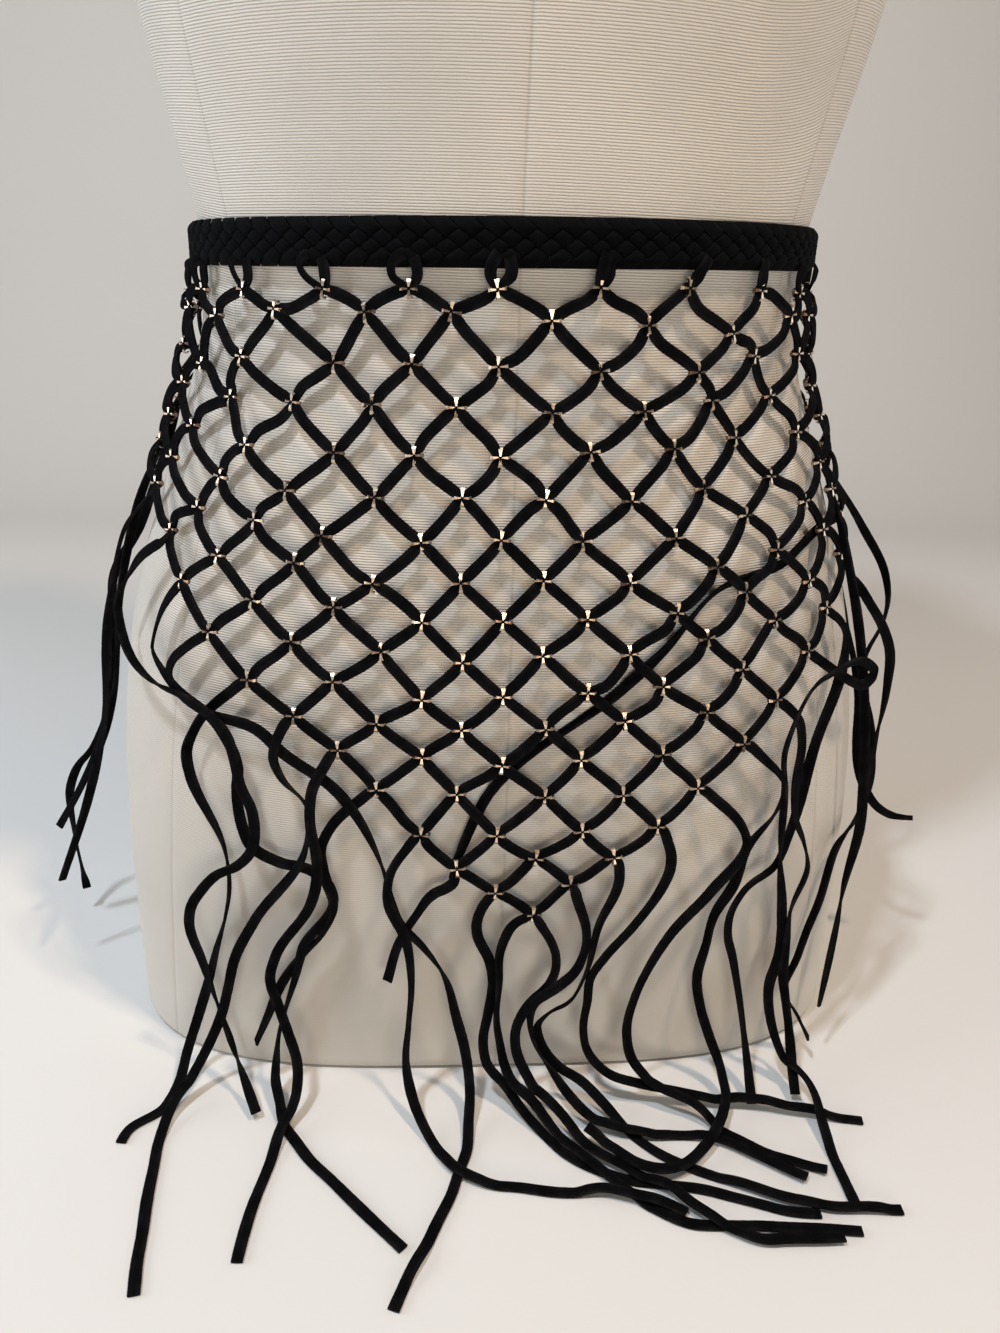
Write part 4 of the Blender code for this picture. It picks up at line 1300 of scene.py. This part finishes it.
Light = namedtuple("Light", "name place target size power colour")
LIGHTS = (
    Light("window_left", (-1.3, -0.1, 0.5), (0, 0, 0.12), (0.9, 0.7), 9.5, (0.90, 0.95, 1.0)),
    Light("window_right", (1.3, 0.0, 0.5), (0, 0, 0.12), (0.9, 0.7), 3.6, (0.94, 0.97, 1.0)),
    Light("ceiling_cool", (-0.46, -0.56, 1.60), (0, 0, 0.1), (0.12, 0.12), 15.0, (0.82, 0.90, 1.0)),
    Light("ceiling_warm", (0.46, -0.52, 1.60), (0, 0, 0.1), (0.12, 0.12), 13.2, (1.0, 0.77, 0.56)),
    Light("ceiling_back", (-0.2, 0.25, 1.9), (0, 0.1, 0.1), (1.2, 0.5), 2.5, (0.97, 0.98, 1.0)),
    Light("front_fill", (0.1, -1.3, 0.20), (0, 0, 0.03), (0.8, 0.3), 6.2, (1.0, 0.90, 0.77)),
)
SURROUND = (0.90, 0.92, 0.95, 1.0)
SURROUND_STRENGTH = 0.07

CAMERA_PLACE = (-0.0292, -0.4631, 0.3294)
CAMERA_HEADING = 4.15
CAMERA_PITCH = 21.6
CAMERA_ROLL = 1.93
CAMERA_LENS = 27.03
CAMERA_SENSOR = 36.0
CAMERA_NEAR = 0.01


def add_floor(material):
    """Floor that curves up into a plain wall behind the form."""
    start = FLOOR_BACK - WALL_ROUND
    profile = [(-FLOOR_HALF, 0.0), (start, 0.0)]
    for step in range(1, WALL_STEPS + 1):
        angle = math.pi / 2 * step / WALL_STEPS
        profile.append((start + WALL_ROUND * math.sin(angle), WALL_ROUND * (1 - math.cos(angle))))
    profile.append((FLOOR_BACK, WALL_HEIGHT))
    vertices = [(x, y, z) for y, z in profile for x in (-FLOOR_HALF, FLOOR_HALF)]
    faces = [(2 * at, 2 * at + 1, 2 * at + 3, 2 * at + 2) for at in range(len(profile) - 1)]
    floor = new_piece("plain_floor", vertices, faces, material)


def add_light(row):
    """Area light that looks at its target."""
    data = bpy.data.lights.new(row.name, "AREA")
    data.shape = "RECTANGLE"
    data.size, data.size_y = row.size
    data.energy = row.power
    data.color = row.colour
    light = bpy.data.objects.new(row.name, data)
    light.location = row.place
    light.visible_camera = False
    towards = Vector(row.target) - Vector(row.place)
    light.rotation_euler = towards.to_track_quat("-Z", "Y").to_euler()
    bpy.context.scene.collection.objects.link(light)


def add_surround():
    """Faint even light from all around."""
    world = bpy.data.worlds.new("soft_surround")
    world.use_nodes = True
    background = world.node_tree.nodes["Background"]
    background.inputs["Color"].default_value = SURROUND
    background.inputs["Strength"].default_value = SURROUND_STRENGTH
    bpy.context.scene.world = world
    bpy.context.scene.view_settings.view_transform = "Standard"


def add_camera():
    """Camera at the photo's angle: heading, pitch and a slight roll."""
    heading, pitch, roll = (math.radians(value) for value in (CAMERA_HEADING, CAMERA_PITCH, CAMERA_ROLL))
    forward = Vector((math.sin(heading) * math.cos(pitch), math.cos(heading) * math.cos(pitch),
                      -math.sin(pitch)))
    level = Vector((math.cos(heading), -math.sin(heading), 0))
    above = level.cross(forward)
    right = level * math.cos(roll) + above * math.sin(roll)
    up = above * math.cos(roll) - level * math.sin(roll)
    rotation = Matrix((right, up, -forward)).transposed().to_4x4()
    data = bpy.data.cameras.new("photo_view")
    data.lens = CAMERA_LENS
    data.sensor_width = CAMERA_SENSOR
    data.clip_start = CAMERA_NEAR
    camera = bpy.data.objects.new("photo_view", data)
    camera.matrix_world = Matrix.Translation(CAMERA_PLACE) @ rotation
    bpy.context.scene.collection.objects.link(camera)
    bpy.context.scene.camera = camera


def paint_kept_node(name, material):
    """New look for a solid that stays as it is."""
    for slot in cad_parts[name].material_slots:
        slot.material = material


def main():
    """Builds every piece and the stage."""
    cover = cover_material()
    suede = suede_material("black_suede_lace", (0.0014, 0.0015, 0.0020), (0.036, 0.029, 0.026), 0.32, 0.035)
    plait = suede_material("black_leather_plait", (0.0004, 0.0005, 0.0009), (0.009, 0.010, 0.013), 0.30, 0.07)
    brass = brass_material()
    form = add_form_cover(cover)
    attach(form, "root")
    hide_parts("form_torso")
    band = add_band(plait)
    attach(band, "root")
    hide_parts("belt_braid")
    for piece, replaced in add_net_and_fringe(suede):
        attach(piece, "root")
        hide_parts(replaced)
    clasps = add_clasps(brass)
    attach(clasps, "root")
    paint_kept_node("form_neck_cap", wood_material())
    paint_kept_node("belt_tab", plait)
    for name in ("belt_stud_left", "belt_stud_right"):
        paint_kept_node(name, brass)
    add_floor(floor_material())
    for row in LIGHTS:
        add_light(row)
    add_surround()
    add_camera()


main()
